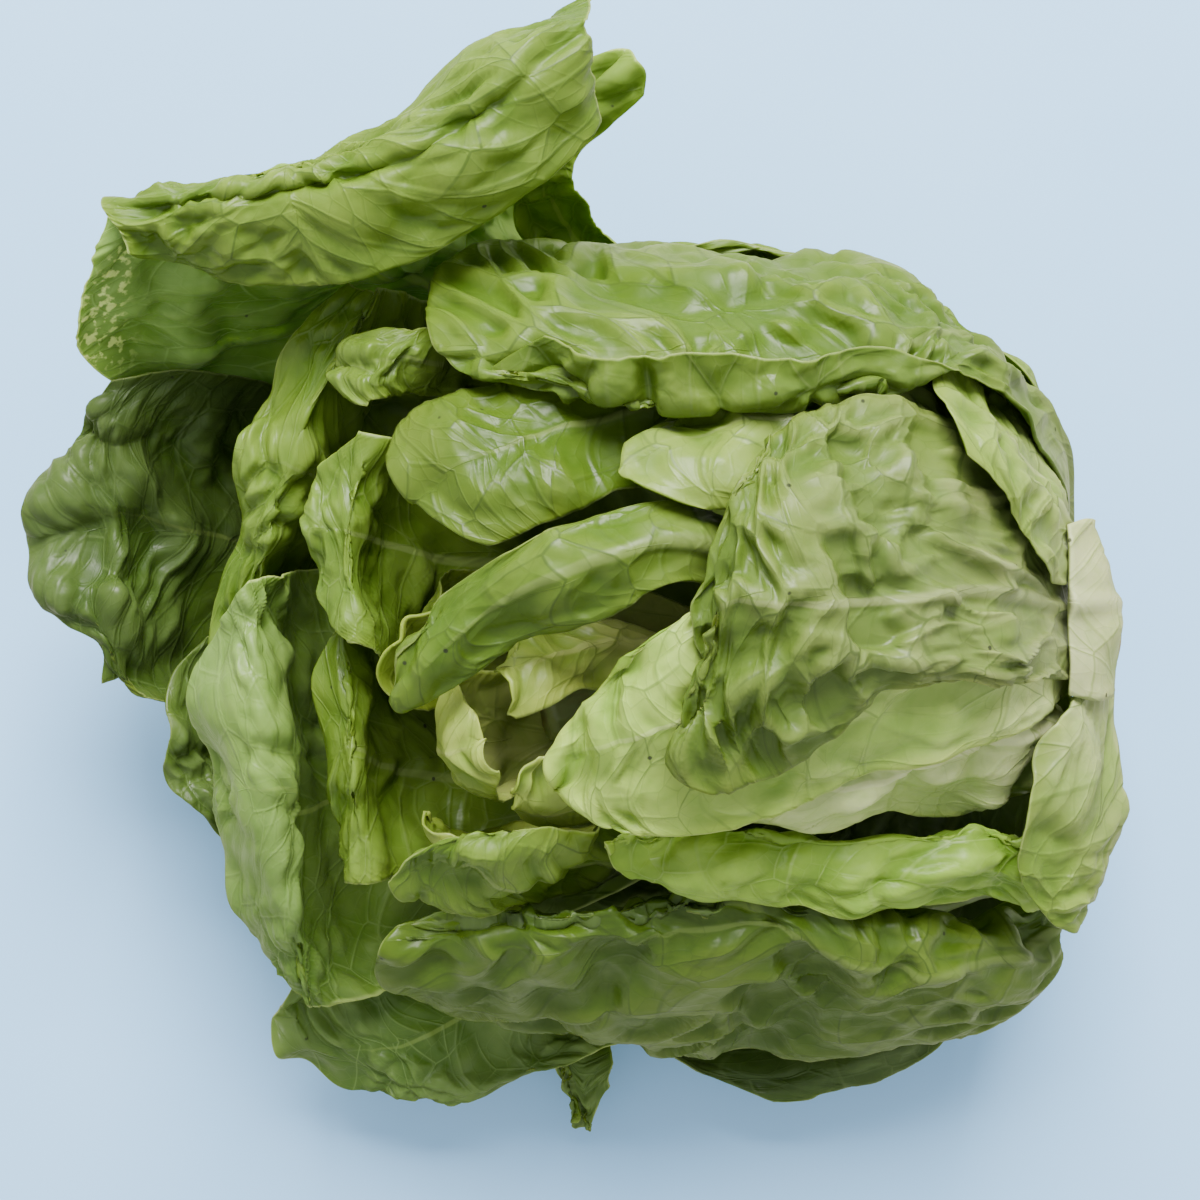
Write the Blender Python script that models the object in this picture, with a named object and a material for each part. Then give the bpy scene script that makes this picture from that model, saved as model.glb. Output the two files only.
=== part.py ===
"""A head of butterhead lettuce lying on its side: a cut stem at the low right,
leaves wrapped round a small heart, and looser outer leaves splayed to the left.

Blender 4.5, metres, +Z up. The leaves are given in millimetres, in a working
frame whose middle lies near the middle of the head.
"""

import math

import bpy
import numpy as np
from mathutils import Matrix, Vector, noise
from mathutils.bvhtree import BVHTree

MM = 0.001

# The stem, and the middle that the leaves close round
STEM_CUT = np.array((106.0, -5.0, 42.0))
HEART = np.array((-14.0, -24.0, 84.0))
HEAD_MIDDLE = np.array((12.0, -19.0, 74.0))
CORE_END = np.array((80.0, -9.0, 51.0))
STEM_SIDES = 16
STEM_PROFILE = ((0, 12.0), (0.5, 9.0), (0.86, 6.5), (0.97, 4.0))
STEM_ROOM = ((-0.06, 13.0), (0.5, 10.0), (0.97, 6.5))

# Every blade
BLADE = 0.8
RIB = 1.1
RIB_REACH = 0.6
CLEARANCE = 2.3
SPAN_ROWS = 3
SPAN_COLUMNS = 3
FINER = 4
TIP = (0.16, 0.12)
LUMP = 2.2
LUMP_LENGTH = 24.0
RAY_LENGTH = 300.0
EASING_ROUNDS = 12
EASING_PASSES = 2
PRESSED_BELOW = 14.0
PRESS = 0.55
FLAT_DEPTH = 0.5

# What each material looks like, from the crisp outer leaves to the pale heart
ROUGHNESS = 0.4
COLOURS = {
    "cut_stem": (0.70, 0.71, 0.42),
    "heart_leaf": (0.55, 0.62, 0.20),
    "pale_leaf": (0.45, 0.57, 0.20),
    "green_leaf": (0.22, 0.40, 0.05),
    "outer_leaf": (0.13, 0.27, 0.03),
}

# Each leaf is a list of sections from the stem to the tip. A section is a list of
# places across the leaf, margin to margin. "waves" is the height of the waves at
# the margin and their number, "tone" its colour, "tip" the shares by which its corners
# are drawn in along it and across it, and "rib" where its rib lies across it, if that
# isn't the middle. The leaves run from the heart outwards.
LEAVES = {
    "heart_leaf_1": {
        "tone": "heart", "waves": (0.6, 5), "sections": [
            [(8, -31, 74), (6, -29, 68), (6, -23, 66), (8, -14, 69)],
            [(-10, -38, 80), (-16, -36, 76), (-17, -22, 76), (-12, -13, 80)],
            [(-18, -38, 94), (-27, -34, 92), (-29, -22, 92), (-24, -14, 94)],
            [(-18, -34, 102), (-24, -31, 104), (-26, -25, 104), (-22, -19, 102)],
            [(-16, -30, 106), (-19, -29, 107), (-20, -26, 107), (-18, -23, 106)],
        ],
    },
    "heart_leaf_2": {
        "tone": "heart", "waves": (2.0, 5), "sections": [
            [(14, -14, 88), (16, -10, 84), (16, -8, 78)],
            [(-2, -18, 100), (0, -10, 96), (-4, -4, 88)],
            [(-12, -20, 107), (-10, -12, 104), (-14, -4, 97)],
            [(-18, -22, 109), (-19, -15, 108), (-21, -8, 103)],
        ],
    },
    "heart_leaf_3": {
        "tone": "heart", "waves": (1.2, 6), "sections": [
            [(18, -34, 76), (19, -31, 81), (19, -26, 85)],
            [(2, -42, 86), (2, -38, 94), (2, -30, 100)],
            [(-10, -44, 94), (-10, -38, 101), (-8, -28, 105)],
            [(-18, -40, 100), (-17, -35, 105), (-15, -28, 108)],
        ],
    },
    "heart_leaf_4": {
        "tone": "heart", "waves": (1.6, 6), "sections": [
            [(20, -14, 58), (20, -8, 60), (22, -3, 64)],
            [(-8, -20, 64), (-10, -6, 68), (-4, 6, 76)],
            [(-32, -22, 80), (-34, -6, 82), (-26, 6, 88)],
            [(-38, -22, 98), (-38, -8, 100), (-30, 4, 102)],
        ],
    },
    "heart_leaf_5": {
        "tone": "heart", "waves": (1.6, 6), "sections": [
            [(24, -28, 56), (24, -30, 61), (24, -32, 66)],
            [(0, -44, 66), (2, -48, 74), (4, -46, 82)],
            [(-24, -46, 76), (-22, -50, 84), (-16, -48, 92)],
            [(-34, -36, 88), (-33, -42, 94), (-27, -46, 98)],
        ],
    },
    "rim_back": {
        "tone": "green", "waves": (1.6, 5), "tip": (0.08, 0.1), "sections": [
            [(50, 6, 56), (52, 8, 62), (52, 5, 70)],
            [(18, 42, 86), (22, 37, 95), (26, 26, 101)],
            [(-6, 44, 104), (-2, 34, 113), (6, 20, 117)],
            [(-28, 40, 108), (-20, 26, 118), (-8, 12, 119)],
            [(-40, 28, 104), (-34, 18, 111), (-22, 8, 114)],
        ],
    },
    "hood": {
        "tone": "green", "waves": (0.8, 5), "sections": [
            [(40, -4, 84), (38, -9, 85), (36, -14, 84)],
            [(30, 12, 104), (28, 5, 107), (25, -2, 105)],
            [(14, 18, 120), (13, 11, 124), (13, 3, 121)],
            [(-8, 13, 121), (-5, 5, 124), (-3, -4, 118)],
            [(-27, 2, 117), (-25, -6, 119), (-21, -13, 112)],
            [(-39, -14, 110), (-38, -19, 110), (-35, -23, 105)],
        ],
    },
    "rim_left": {
        "tone": "green", "waves": (1.6, 6), "tip": (0.05, 0.1), "sections": [
            [(50, -19, 48), (49, -14, 45), (51, -8, 46)],
            [(0, -20, 52), (-2, 6, 50), (4, 28, 58)],
            [(-36, -14, 76), (-37, 10, 76), (-33, 33, 80)],
            [(-45, -10, 100), (-46, 12, 102), (-43, 32, 100)],
            [(-56, -8, 94), (-57, 14, 97), (-55, 33, 94)],
        ],
    },
    "rim_low": {
        "tone": "green", "waves": (1.6, 7), "tip": (0.05, 0.1), "sections": [
            [(50, -24, 46), (50, -20, 43), (51, -15, 42)],
            [(0, -50, 56), (-4, -34, 48), (0, -8, 45)],
            [(-32, -55, 65), (-40, -33, 64), (-42, -4, 64)],
            [(-47, -56, 82), (-47, -29, 92), (-50, 0, 90)],
            [(-54, -60, 75), (-56, -31, 86), (-57, 0, 83)],
        ],
    },
    "rim_top": {
        "tone": "green", "waves": (1.4, 6), "sections": [
            [(58, 6, 48), (58, 10, 53), (58, 10, 60)],
            [(10, 43, 62), (12, 47, 72), (14, 45, 84)],
            [(-31, 39, 85), (-28, 46, 87), (-20, 52, 88)],
            [(-43, 37, 99), (-40, 44, 100), (-35, 51, 98)],
            [(-53, 37, 92), (-51, 45, 92), (-46, 53, 91)],
        ],
    },
    "rim_front": {
        "tone": "green", "waves": (1.8, 6), "sections": [
            [(56, -28, 60), (55, -30, 55), (54, -29, 50)],
            [(14, -38, 80), (12, -48, 74), (8, -52, 62)],
            [(-8, -41, 98), (-12, -50, 92), (-12, -57, 78)],
            [(-23, -42, 104), (-28, -51, 100), (-24, -60, 86)],
            [(-37, -46, 99), (-40, -54, 94), (-34, -61, 84)],
        ],
    },
    "shoulder": {
        "tone": "pale", "waves": (1.5, 6), "sections": [
            [(92, 0, 62), (91, 6, 62), (90, 12, 58)],
            [(82, 8, 86), (80, 22, 89), (76, 36, 80)],
            [(58, 16, 112), (56, 32, 109), (52, 50, 92)],
            [(28, 14, 123), (26, 30, 120), (24, 46, 104)],
            [(6, 14, 120), (3, 22, 120), (7, 34, 113)],
        ],
    },
    "pale_side": {
        "tone": "pale", "waves": (1.2, 6), "sections": [
            [(94, -26, 48), (94, -20, 56), (92, -14, 61)],
            [(94, -37, 57), (89, -26, 75), (84, -12, 88)],
            [(62, -44, 86), (60, -32, 101), (57, -16, 112)],
            [(32, -44, 94), (30, -34, 108), (28, -20, 118)],
            [(12, -39, 97), (10, -35, 107), (10, -26, 115)],
        ],
    },
    "under_front": {
        "tone": "pale", "waves": (1.4, 5), "sections": [
            [(95, -14, 61), (95, -8, 64), (94, -1, 64)],
            [(76, -22, 88), (74, -9, 100), (74, 6, 101)],
            [(42, -34, 108), (40, -14, 125), (42, 8, 123)],
            [(12, -42, 107), (9, -22, 124), (10, -4, 127)],
            [(-7, -41, 105), (-9, -31, 112), (-2, -15, 120)],
        ],
    },
    "front_wrapper": {
        "tone": "pale", "waves": (2.0, 8), "sections": [
            [(99, -14, 60), (99, -10, 64), (99, -6, 66), (99, -2, 66), (98, 3, 64)],
            [(80, -14, 88), (79, -7, 97), (78, 2, 102), (78, 14, 103), (80, 28, 92)],
            [(53, -15, 116), (52, -8, 124), (52, 0, 128), (51, 15, 127), (55, 33, 108)],
            [(37, -28, 120), (35, -14, 134), (34, 0, 139), (32, 16, 136), (36, 31, 118)],
            [(25, -36, 118), (23, -17, 134), (22, 0, 139), (24, 12, 137), (27, 23, 130)],
            [(7, -41, 113), (11, -30, 122), (15, -17, 130), (17, 0, 133), (22, 16, 132)],
        ],
    },
    "side_wrapper": {
        "tone": "green", "waves": (1.0, 7), "rib": 0.5, "sections": [
            [(98, -19, 57), (98, -20, 55), (97, -21, 52), (97, -22, 47), (96, -22, 40)],
            [(103, -40, 66), (101, -39, 71), (97, -38, 72), (98, -40, 60), (97, -38, 43)],
            [(90, -63, 68), (91, -57, 77), (92, -48, 76), (96, -53, 60), (95, -58, 43)],
            [(79, -62, 73), (78, -55, 82), (78, -46, 83), (82, -54, 64), (81, -65, 38)],
            [(49, -62, 83), (48, -54, 92), (48, -45, 91), (50, -54, 72), (50, -68, 44)],
            [(20, -58, 92), (18, -51, 99), (18, -43, 97), (17, -51, 82), (18, -66, 52)],
            [(6, -59, 94), (2, -52, 100), (1, -45, 98), (3, -50, 87), (6, -60, 70)],
        ],
    },
    "back_rib": {
        "tone": "pale", "waves": (1.0, 5), "sections": [
            [(95, 2, 64), (95, 6, 62), (95, 10, 58)],
            [(84, 2, 90), (87, 14, 86), (89, 26, 74)],
            [(70, 16, 108), (74, 29, 100), (79, 42, 80)],
            [(56, 28, 116), (62, 42, 104), (68, 54, 86)],
        ],
    },
    "top_wrapper": {
        "tone": "green", "waves": (1.2, 8), "tip": (0.06, 0), "sections": [
            [(98, 12, 56), (99, 15, 52), (99, 18, 47), (98, 21, 42)],
            [(90, 24, 80), (92, 30, 74), (94, 34, 63), (92, 37, 50)],
            [(70, 38, 102), (71, 42, 96), (72, 49, 84), (72, 55, 60)],
            [(56, 42, 116), (54, 34, 108), (57, 54, 97), (60, 66, 64)],
            [(36, 43, 124), (36, 33, 116), (38, 56, 104), (39, 71, 67)],
            [(16, 42, 127), (16, 33, 119), (17, 56, 106), (17, 71, 68)],
            [(-4, 43, 124), (-5, 34, 116), (-9, 55, 105), (-10, 70, 70)],
            [(-17, 48, 118), (-24, 40, 109), (-33, 53, 100), (-29, 68, 78)],
        ],
    },
    "low_wrapper": {
        "tone": "outer", "waves": (1.2, 8), "tip": (0.06, 0.08), "sections": [
            [(98, -17, 27), (99, -19, 29), (99, -21, 32), (100, -22, 35), (99, -22, 39)],
            [(101, -44, 25), (104, -47, 28), (105, -49, 32), (106, -50, 36), (106, -50, 41)],
            [(94, -83, 36), (95, -79, 44), (95, -74, 49), (94, -69, 50), (95, -62, 43)],
            [(66, -94, 40), (64, -82, 61), (62, -73, 74), (60, -66, 74), (64, -68, 54)],
            [(35, -99, 36), (33, -81, 67), (32, -65, 86), (31, -57, 86), (33, -67, 62)],
            [(-6, -97, 36), (-5, -82, 67), (-5, -68, 88), (-5, -60, 89), (-6, -69, 66)],
            [(-44, -84, 46), (-46, -76, 64), (-44, -69, 78), (-39, -63, 80), (-33, -67, 68)],
        ],
    },
    "long_left": {
        "tone": "outer", "waves": (1.8, 9), "tip": (0.05, 0.08), "sections": [
            [(90, -15, 33), (89, -10, 31), (89, -4, 31), (90, 1, 33)],
            [(30, -52, 22), (32, -34, 19), (32, -12, 19), (30, 8, 22)],
            [(-20, -78, 24), (-20, -48, 20), (-20, -16, 20), (-20, 14, 24)],
            [(-47, -86, 42), (-55, -60, 42), (-59, -28, 44), (-60, 8, 46)],
            [(-59, -89, 60), (-63, -54, 81), (-65, -22, 90), (-66, 6, 90)],
            [(-71, -91, 48), (-77, -54, 69), (-81, -22, 80), (-79, 5, 84)],
        ],
    },
    "upper_left": {
        "tone": "green", "waves": (2.2, 8), "tip": (0.05, 0.08), "sections": [
            [(93, 0, 30), (93, 5, 32), (94, 10, 35), (95, 15, 40)],
            [(34, 4, 16), (34, 26, 18), (34, 42, 24), (34, 56, 36)],
            [(-24, -6, 18), (-22, 24, 18), (-18, 48, 28), (-12, 62, 44)],
            [(-66, -20, 40), (-58, 14, 44), (-48, 40, 52), (-34, 62, 64)],
            [(-74, -22, 64), (-65, 12, 80), (-56, 37, 87), (-40, 61, 87)],
            [(-84, -22, 58), (-75, 16, 74), (-66, 43, 80), (-51, 69, 81)],
        ],
    },
    "back_wrapper": {
        "tone": "green", "waves": (2.0, 8), "sections": [
            [(98, 14, 30), (98, 15, 34), (97, 16, 39)],
            [(92, 32, 26), (95, 34, 42), (92, 31, 55)],
            [(68, 55, 24), (71, 60, 44), (69, 58, 58)],
            [(30, 64, 22), (32, 72, 44), (32, 71, 60)],
            [(-10, 62, 24), (-10, 70, 46), (-10, 70, 62)],
            [(-34, 56, 32), (-37, 65, 48), (-35, 66, 62)],
        ],
    },
    "under_back": {
        "tone": "outer", "waves": (2.0, 8), "sections": [
            [(97, 2, 24), (98, 7, 27), (98, 11, 31)],
            [(60, 10, 8), (62, 30, 10), (66, 48, 22)],
            [(14, 10, 8), (14, 40, 10), (14, 64, 20)],
            [(-28, 10, 12), (-30, 38, 14), (-30, 60, 26)],
            [(-54, 12, 26), (-58, 30, 30), (-54, 50, 38)],
        ],
    },
    "low_left": {
        "tone": "outer", "waves": (2.0, 7), "sections": [
            [(97, -16, 25), (96, -13, 24), (96, -10, 23)],
            [(30, -56, 12), (30, -32, 9), (30, -8, 9)],
            [(-36, -66, 16), (-38, -34, 12), (-38, 0, 12)],
            [(-70, -62, 36), (-76, -34, 36), (-76, -2, 36)],
            [(-77, -58, 46), (-90, -38, 54), (-93, -2, 58)],
        ],
    },
    "low_outer": {
        "tone": "outer", "waves": (1.8, 7), "sections": [
            [(100, -20, 27), (100, -17, 25), (99, -13, 24)],
            [(94, -60, 24), (84, -46, 16), (74, -30, 14)],
            [(84, -92, 28), (66, -74, 17), (54, -52, 14)],
            [(54, -112, 30), (42, -92, 18), (34, -66, 14)],
            [(14, -113, 27), (10, -96, 18), (12, -76, 14)],
        ],
    },
    "splayed_low": {
        "tone": "outer", "waves": (2.6, 8), "sections": [
            [(98, -18, 22), (97, -17, 21), (96, -15, 20)],
            [(50, -60, 16), (48, -48, 12), (46, -34, 11)],
            [(4, -97, 21), (-4, -76, 15), (-8, -54, 12)],
            [(-26, -114, 27), (-42, -97, 36), (-44, -66, 30)],
            [(-49, -116, 24), (-71, -99, 32), (-72, -74, 36)],
        ],
    },
    "under_front_low": {
        "tone": "outer", "waves": (0.8, 5), "sections": [
            [(96, -14, 19), (95, -11, 18), (95, -8, 17)],
            [(50, -60, 13), (48, -40, 9), (46, -20, 8)],
            [(6, -88, 14), (0, -66, 10), (-6, -44, 9)],
            [(0, -104, 20), (-7, -99, 18), (-16, -90, 14)],
            [(1, -125, 12), (-4, -123, 14), (-8, -118, 13)],
        ],
    },
    "right_wrapper": {
        "tone": "pale", "waves": (1.2, 4), "sections": [
            [(97, -13, 68), (102, -15, 60), (104, -17, 52), (105, -19, 45)],
            [(84, -27, 87), (96, -30, 73), (100, -32, 57), (100, -32, 44)],
            [(78, -43, 86), (92, -47, 73), (97, -49, 58), (97, -48, 47)],
            [(78, -55, 82), (90, -60, 71), (97, -61, 59), (98, -60, 51)],
        ],
    },
    "torn_base": {
        "tone": "pale", "waves": (0.8, 4), "sections": [
            [(88, -14, 75), (88, -3, 78), (88, 8, 76)],
            [(98, -14, 69), (99, -2, 72), (98, 11, 69)],
            [(100, -12, 62), (101, -1, 66), (100, 11, 63)],
        ],
    },
    "splayed_left": {
        "tone": "outer", "waves": (3.4, 7), "sections": [
            [(98, -12, 16), (97, -9, 15), (97, -6, 14), (97, -3, 15), (98, 0, 16)],
            [(56, -25, 4), (56, -12, 3), (56, 0, 3), (56, 12, 3), (56, 25, 4)],
            [(-2, -30, 4), (-2, -14, 3), (-2, 2, 3), (-2, 18, 3), (-2, 34, 4)],
            [(-46, -32, 12), (-46, -12, 11), (-46, 6, 11), (-46, 24, 11), (-46, 42, 13)],
            [(-74, -26, 36), (-76, -6, 34), (-76, 14, 33), (-74, 32, 36), (-72, 48, 42)],
            [(-89, -24, 56), (-91, -4, 52), (-90, 14, 48), (-89, 32, 54), (-87, 50, 62)],
            [(-102, -20, 62), (-102, -4, 66), (-100, 14, 62), (-102, 32, 66), (-100, 48, 70)],
            [(-110, -14, 54), (-116, -2, 58), (-120, 14, 60), (-116, 30, 60), (-108, 44, 64)],
        ],
    },
    "back_tall": {
        "tone": "green", "waves": (1.4, 6), "tip": (0.05, 0.05), "sections": [
            [(98, 14, 28), (98, 16, 31), (97, 18, 35)],
            [(66, 56, 18), (68, 60, 27), (67, 60, 36)],
            [(0, 68, 26), (3, 73, 34), (6, 73, 42)],
            [(-20, 84, 48), (-13, 88, 56), (-6, 87, 62)],
            [(-5, 110, 78), (5, 108, 82), (13, 103, 83)],
        ],
    },
    "curled_top": {
        "tone": "outer", "waves": (1.0, 8), "tip": (0.0, 0), "sections": [
            [(99, 4, 15), (99, 7, 16), (99, 10, 18), (99, 14, 21), (98, 17, 25)],
            [(42, 38, 8), (44, 44, 10), (46, 50, 14), (48, 54, 20), (50, 60, 26)],
            [(-34, 36, 16), (-26, 47, 18), (-16, 57, 22), (-8, 65, 27), (1, 72, 33)],
            [(-82, 36, 52), (-60, 52, 50), (-40, 66, 52), (-26, 76, 56), (-14, 85, 60)],
            [(-101, 48, 77), (-84, 62, 75), (-61, 72, 80), (-36, 82, 86), (-6, 102, 88)],
            [(-98, 62, 90), (-81, 76, 96), (-57, 80, 103), (-33, 89, 106), (-3, 113, 108)],
            [(-93, 73, 99), (-77, 74, 107), (-56, 76, 112), (-32, 82, 116), (-2, 104, 117)],
            [(-88, 65, 103), (-72, 61, 98), (-52, 60, 101), (-30, 65, 106), (0, 88, 107)],
        ],
    },
}


def unit(vectors):
    return vectors / np.maximum(np.linalg.norm(vectors, axis=-1, keepdims=True), 1e-9)


def through(points, per_span):
    """Centripetal Catmull-Rom curves through points[i], one curve for each points[:, j]."""
    points = np.concatenate((2 * points[:1] - points[1:2], points, 2 * points[-1:] - points[-2:-1]))
    step = np.sqrt(np.maximum(np.linalg.norm(np.diff(points, axis=0), axis=-1, keepdims=True), 1e-6))
    rows = []
    for i in range(1, len(points) - 2):
        p0, p1, p2, p3 = points[i - 1: i + 3]
        d0, d1, d2 = step[i - 1: i + 2]
        m1 = (p1 - p0) / d0 - (p2 - p0) / (d0 + d1) + (p2 - p1) / d1
        m2 = (p2 - p1) / d1 - (p3 - p1) / (d1 + d2) + (p3 - p2) / d2
        for u in np.arange(per_span) / per_span:
            rows.append((2 * u ** 3 - 3 * u ** 2 + 1) * p1 + (u ** 3 - 2 * u ** 2 + u) * d1 * m1
                        + (3 * u ** 2 - 2 * u ** 3) * p2 + (u ** 3 - u ** 2) * d1 * m2)
    rows.append(points[-2])
    return np.array(rows)


def core_of(places):
    """The nearest places on the line inside the head that the leaves wrap round."""
    line = CORE_END - HEAD_MIDDLE
    share = np.clip(((places - HEAD_MIDDLE) @ line) / (line @ line), 0, 1)
    return HEAD_MIDDLE + share[..., None] * line


def leaf_sheet(leaf):
    """The middle surface of a leaf as a grid of points from stem to tip, the tip's corners drawn in."""
    net = np.array(leaf["sections"], float)
    fine = through(net, SPAN_ROWS * FINER).transpose(1, 0, 2)
    fine = through(fine, SPAN_COLUMNS * FINER).transpose(1, 0, 2)
    rows, columns = (len(fine) - 1) // FINER + 1, (len(fine[0]) - 1) // FINER + 1
    run, across = leaf_shares(rows, columns)
    drawn, narrowed = leaf.get("tip", TIP)
    drawn_run = run * (1 - drawn * np.abs(across) ** 3)
    drawn_across = across * (1 - narrowed * run ** 4)
    return sampled(fine, drawn_run * (len(fine) - 1), (drawn_across + 1) / 2 * (len(fine[0]) - 1))


def sampled(grid, row, column):
    """The places of a grid of points at any rows and columns, in between too."""
    i = np.clip(np.floor(row).astype(int), 0, len(grid) - 2)
    j = np.clip(np.floor(column).astype(int), 0, len(grid[0]) - 2)
    u, v = (row - i)[..., None], (column - j)[..., None]
    return ((1 - u) * ((1 - v) * grid[i, j] + v * grid[i, j + 1])
            + u * ((1 - v) * grid[i + 1, j] + v * grid[i + 1, j + 1]))


def leaf_shares(rows, columns):
    """How far each place of a leaf's grid lies from stem to tip (0 to 1), and across (-1 to 1)."""
    run = np.linspace(0, 1, rows)[:, None] * np.ones((1, columns))
    across = np.linspace(-1, 1, columns)[None, :] * np.ones((rows, 1))
    return run, across


def sheet_normals(points):
    """Unit normals on the side away from the middle of the head."""
    along = np.gradient(points, axis=0)
    over = np.gradient(points, axis=1)
    normals = unit(np.cross(along, over))
    rows = len(points)
    facing = ((points - core_of(points)) * normals)[: rows * 2 // 3].sum()
    return normals if facing > 0 else -normals


def waved(name, points, leaf):
    """Lumps all over, and waves that grow towards the margin."""
    run, across = leaf_shares(*points.shape[:2])
    normals = sheet_normals(points)
    seed = sum(map(ord, name)) % 97
    tall, count = leaf["waves"]
    angle = np.arctan2(across, run - 0.35)
    edge = np.clip(np.maximum(np.abs(across), run * 2 - 1), 0, 1) ** 3 * np.clip(run * 3 - 0.4, 0, 1)
    shift = Vector((seed, 0, 0))
    lumps = np.array([[noise.noise(Vector(p) / LUMP_LENGTH + shift) for p in row] for row in points])
    height = tall * edge * np.sin(count * angle + seed) + LUMP * lumps * np.clip(run * 2, 0, 1)
    return points + normals * height[..., None]


def triangles(rows, columns):
    """Both triangles of each cell of a grid, split on the same diagonal."""
    faces = []
    for i in range(rows - 1):
        for j in range(columns - 1):
            a, b = i * columns + j, i * columns + j + 1
            c, d = b + columns, a + columns
            faces += [(a, b, c), (a, c, d)]
    return faces


def tree_of(laid):
    vertices, faces = [], []
    for grid in laid:
        base = len(vertices)
        vertices += [Vector(p) for p in grid.reshape(-1, 3)]
        faces += [tuple(base + k for k in face) for face in triangles(*grid.shape[:2])]
    return BVHTree.FromPolygons(vertices, faces)


def covered(tree, place):
    """How far out of this place the tree's sheets still lie, on the line out from the core, and the face."""
    core = core_of(place)
    direction = unit(place - core)
    hit = tree.ray_cast(Vector(core + direction * RAY_LENGTH), Vector(-direction), RAY_LENGTH)
    if hit[0] is None:
        return None, None
    return RAY_LENGTH - hit[3] - np.linalg.norm(place - core), hit[2]


def spread_out(lack):
    """The push for each place: at least what it lacks, fading smoothly round it."""
    push = lack.copy()
    for _ in range(EASING_ROUNDS):
        spread = np.pad(push, 1, mode="edge")
        spread = (spread[:-2, 1:-1] + spread[2:, 1:-1] + spread[1:-1, :-2] + spread[1:-1, 2:]) / 4
        push = np.maximum(lack, (push + spread) / 2)
    return push


def eased_off(points, laid):
    """The sheet, pushed away from the core of the head until it clears the leaves laid before."""
    tree = tree_of(laid)
    rows, columns = points.shape[:2]
    faces = triangles(rows, columns)
    for _ in range(EASING_PASSES):
        lack = np.zeros(rows * columns)
        places = points.reshape(-1, 3)
        for corners in [(k,) for k in range(len(places))] + faces:
            above, _ = covered(tree, places[list(corners)].mean(0))
            if above is not None:
                for k in corners:
                    lack[k] = max(lack[k], above + CLEARANCE)
        own = tree_of([points])
        for place in np.concatenate([grid.reshape(-1, 3) for grid in laid]):
            above, face = covered(own, place)
            if above is not None:
                for k in faces[face]:
                    lack[k] = max(lack[k], CLEARANCE - above)
        push = spread_out(lack.reshape(rows, columns))
        points = points + unit(points - core_of(points)) * push[..., None]
    return points


def blade_mesh(name, points, leaf):
    """A closed blade round the sheet, thicker along its rib near the stem."""
    rows, columns = points.shape[:2]
    run, across = leaf_shares(*points.shape[:2])
    normals = sheet_normals(points)
    rib = RIB * np.clip(1 - run / RIB_REACH, 0, 1) * np.exp(-((across - leaf.get("rib", 0)) * 2.5) ** 2)
    outer = points + normals * (BLADE / 2 + rib)[..., None]
    inner = points - normals * (BLADE / 2)
    resting = points[..., 2] < BLADE / 2 + 1e-6
    outer[resting, 2], inner[resting, 2] = 0, BLADE
    outer[..., 2] = np.maximum(outer[..., 2], 0)
    along = np.gradient(points, axis=0)
    over = np.gradient(points, axis=1)
    if (np.cross(along, over) * normals).sum() < 0:
        outer, inner = inner, outer
    vertices = np.concatenate((outer.reshape(-1, 3), inner.reshape(-1, 3))) * MM
    count = rows * columns
    top = triangles(rows, columns)
    faces = top + [tuple(count + k for k in reversed(face)) for face in top]
    ring = ([j for j in range(columns)] + [i * columns + columns - 1 for i in range(1, rows)]
            + [(rows - 1) * columns + j for j in range(columns - 2, -1, -1)]
            + [i * columns for i in range(rows - 2, 0, -1)])
    for a, b in zip(ring, ring[1:] + ring[:1]):
        faces += [(b, a, count + a), (b, count + a, count + b)]
    # The grid runs rows first, so its own faces look down the side that np.cross gives.
    faces = [tuple(reversed(face)) for face in faces]
    mesh = bpy.data.meshes.new(name)
    mesh.from_pydata(vertices.tolist(), [], faces)
    return mesh


def settled(sheets, low):
    """The sheets lowered to the floor: low places pressed together, the lowest laid flat on it."""
    for sheet in sheets:
        height = sheet[..., 2] - low
        share = np.clip(height / PRESSED_BELOW, 0, 1)
        pressed = np.where(share < 1, height * (PRESS + (1 - PRESS) * share), height)
        sheet[..., 2] = np.maximum(pressed - FLAT_DEPTH, 0) + BLADE / 2
    return sheets


def leaf_material(name):
    material = bpy.data.materials.get(name) or bpy.data.materials.new(name)
    material.use_nodes = True
    shader = material.node_tree.nodes["Principled BSDF"]
    shader.inputs["Base Color"].default_value = (*COLOURS[name], 1)
    shader.inputs["Roughness"].default_value = ROUGHNESS
    shader.inputs["Metallic"].default_value = 0
    return material


def add_object(name, mesh, material):
    mesh.materials.append(material)
    mesh.shade_smooth()
    piece = bpy.data.objects.new(name, mesh)
    bpy.context.scene.collection.objects.link(piece)
    return piece


def stem_rings(profile, turns):
    """Rings of points round the line from the stem's cut to the heart, each a share of it and a radius."""
    reach = HEART - STEM_CUT
    along = unit(reach)
    up = unit(np.array((0, 0, 1.0)) - along[2] * along)
    side = np.cross(along, up)
    round_it = np.outer(np.cos(turns), up) + np.outer(np.sin(turns), side)
    return np.array([STEM_CUT + reach * share + round_it * radius for share, radius in profile])


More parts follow.
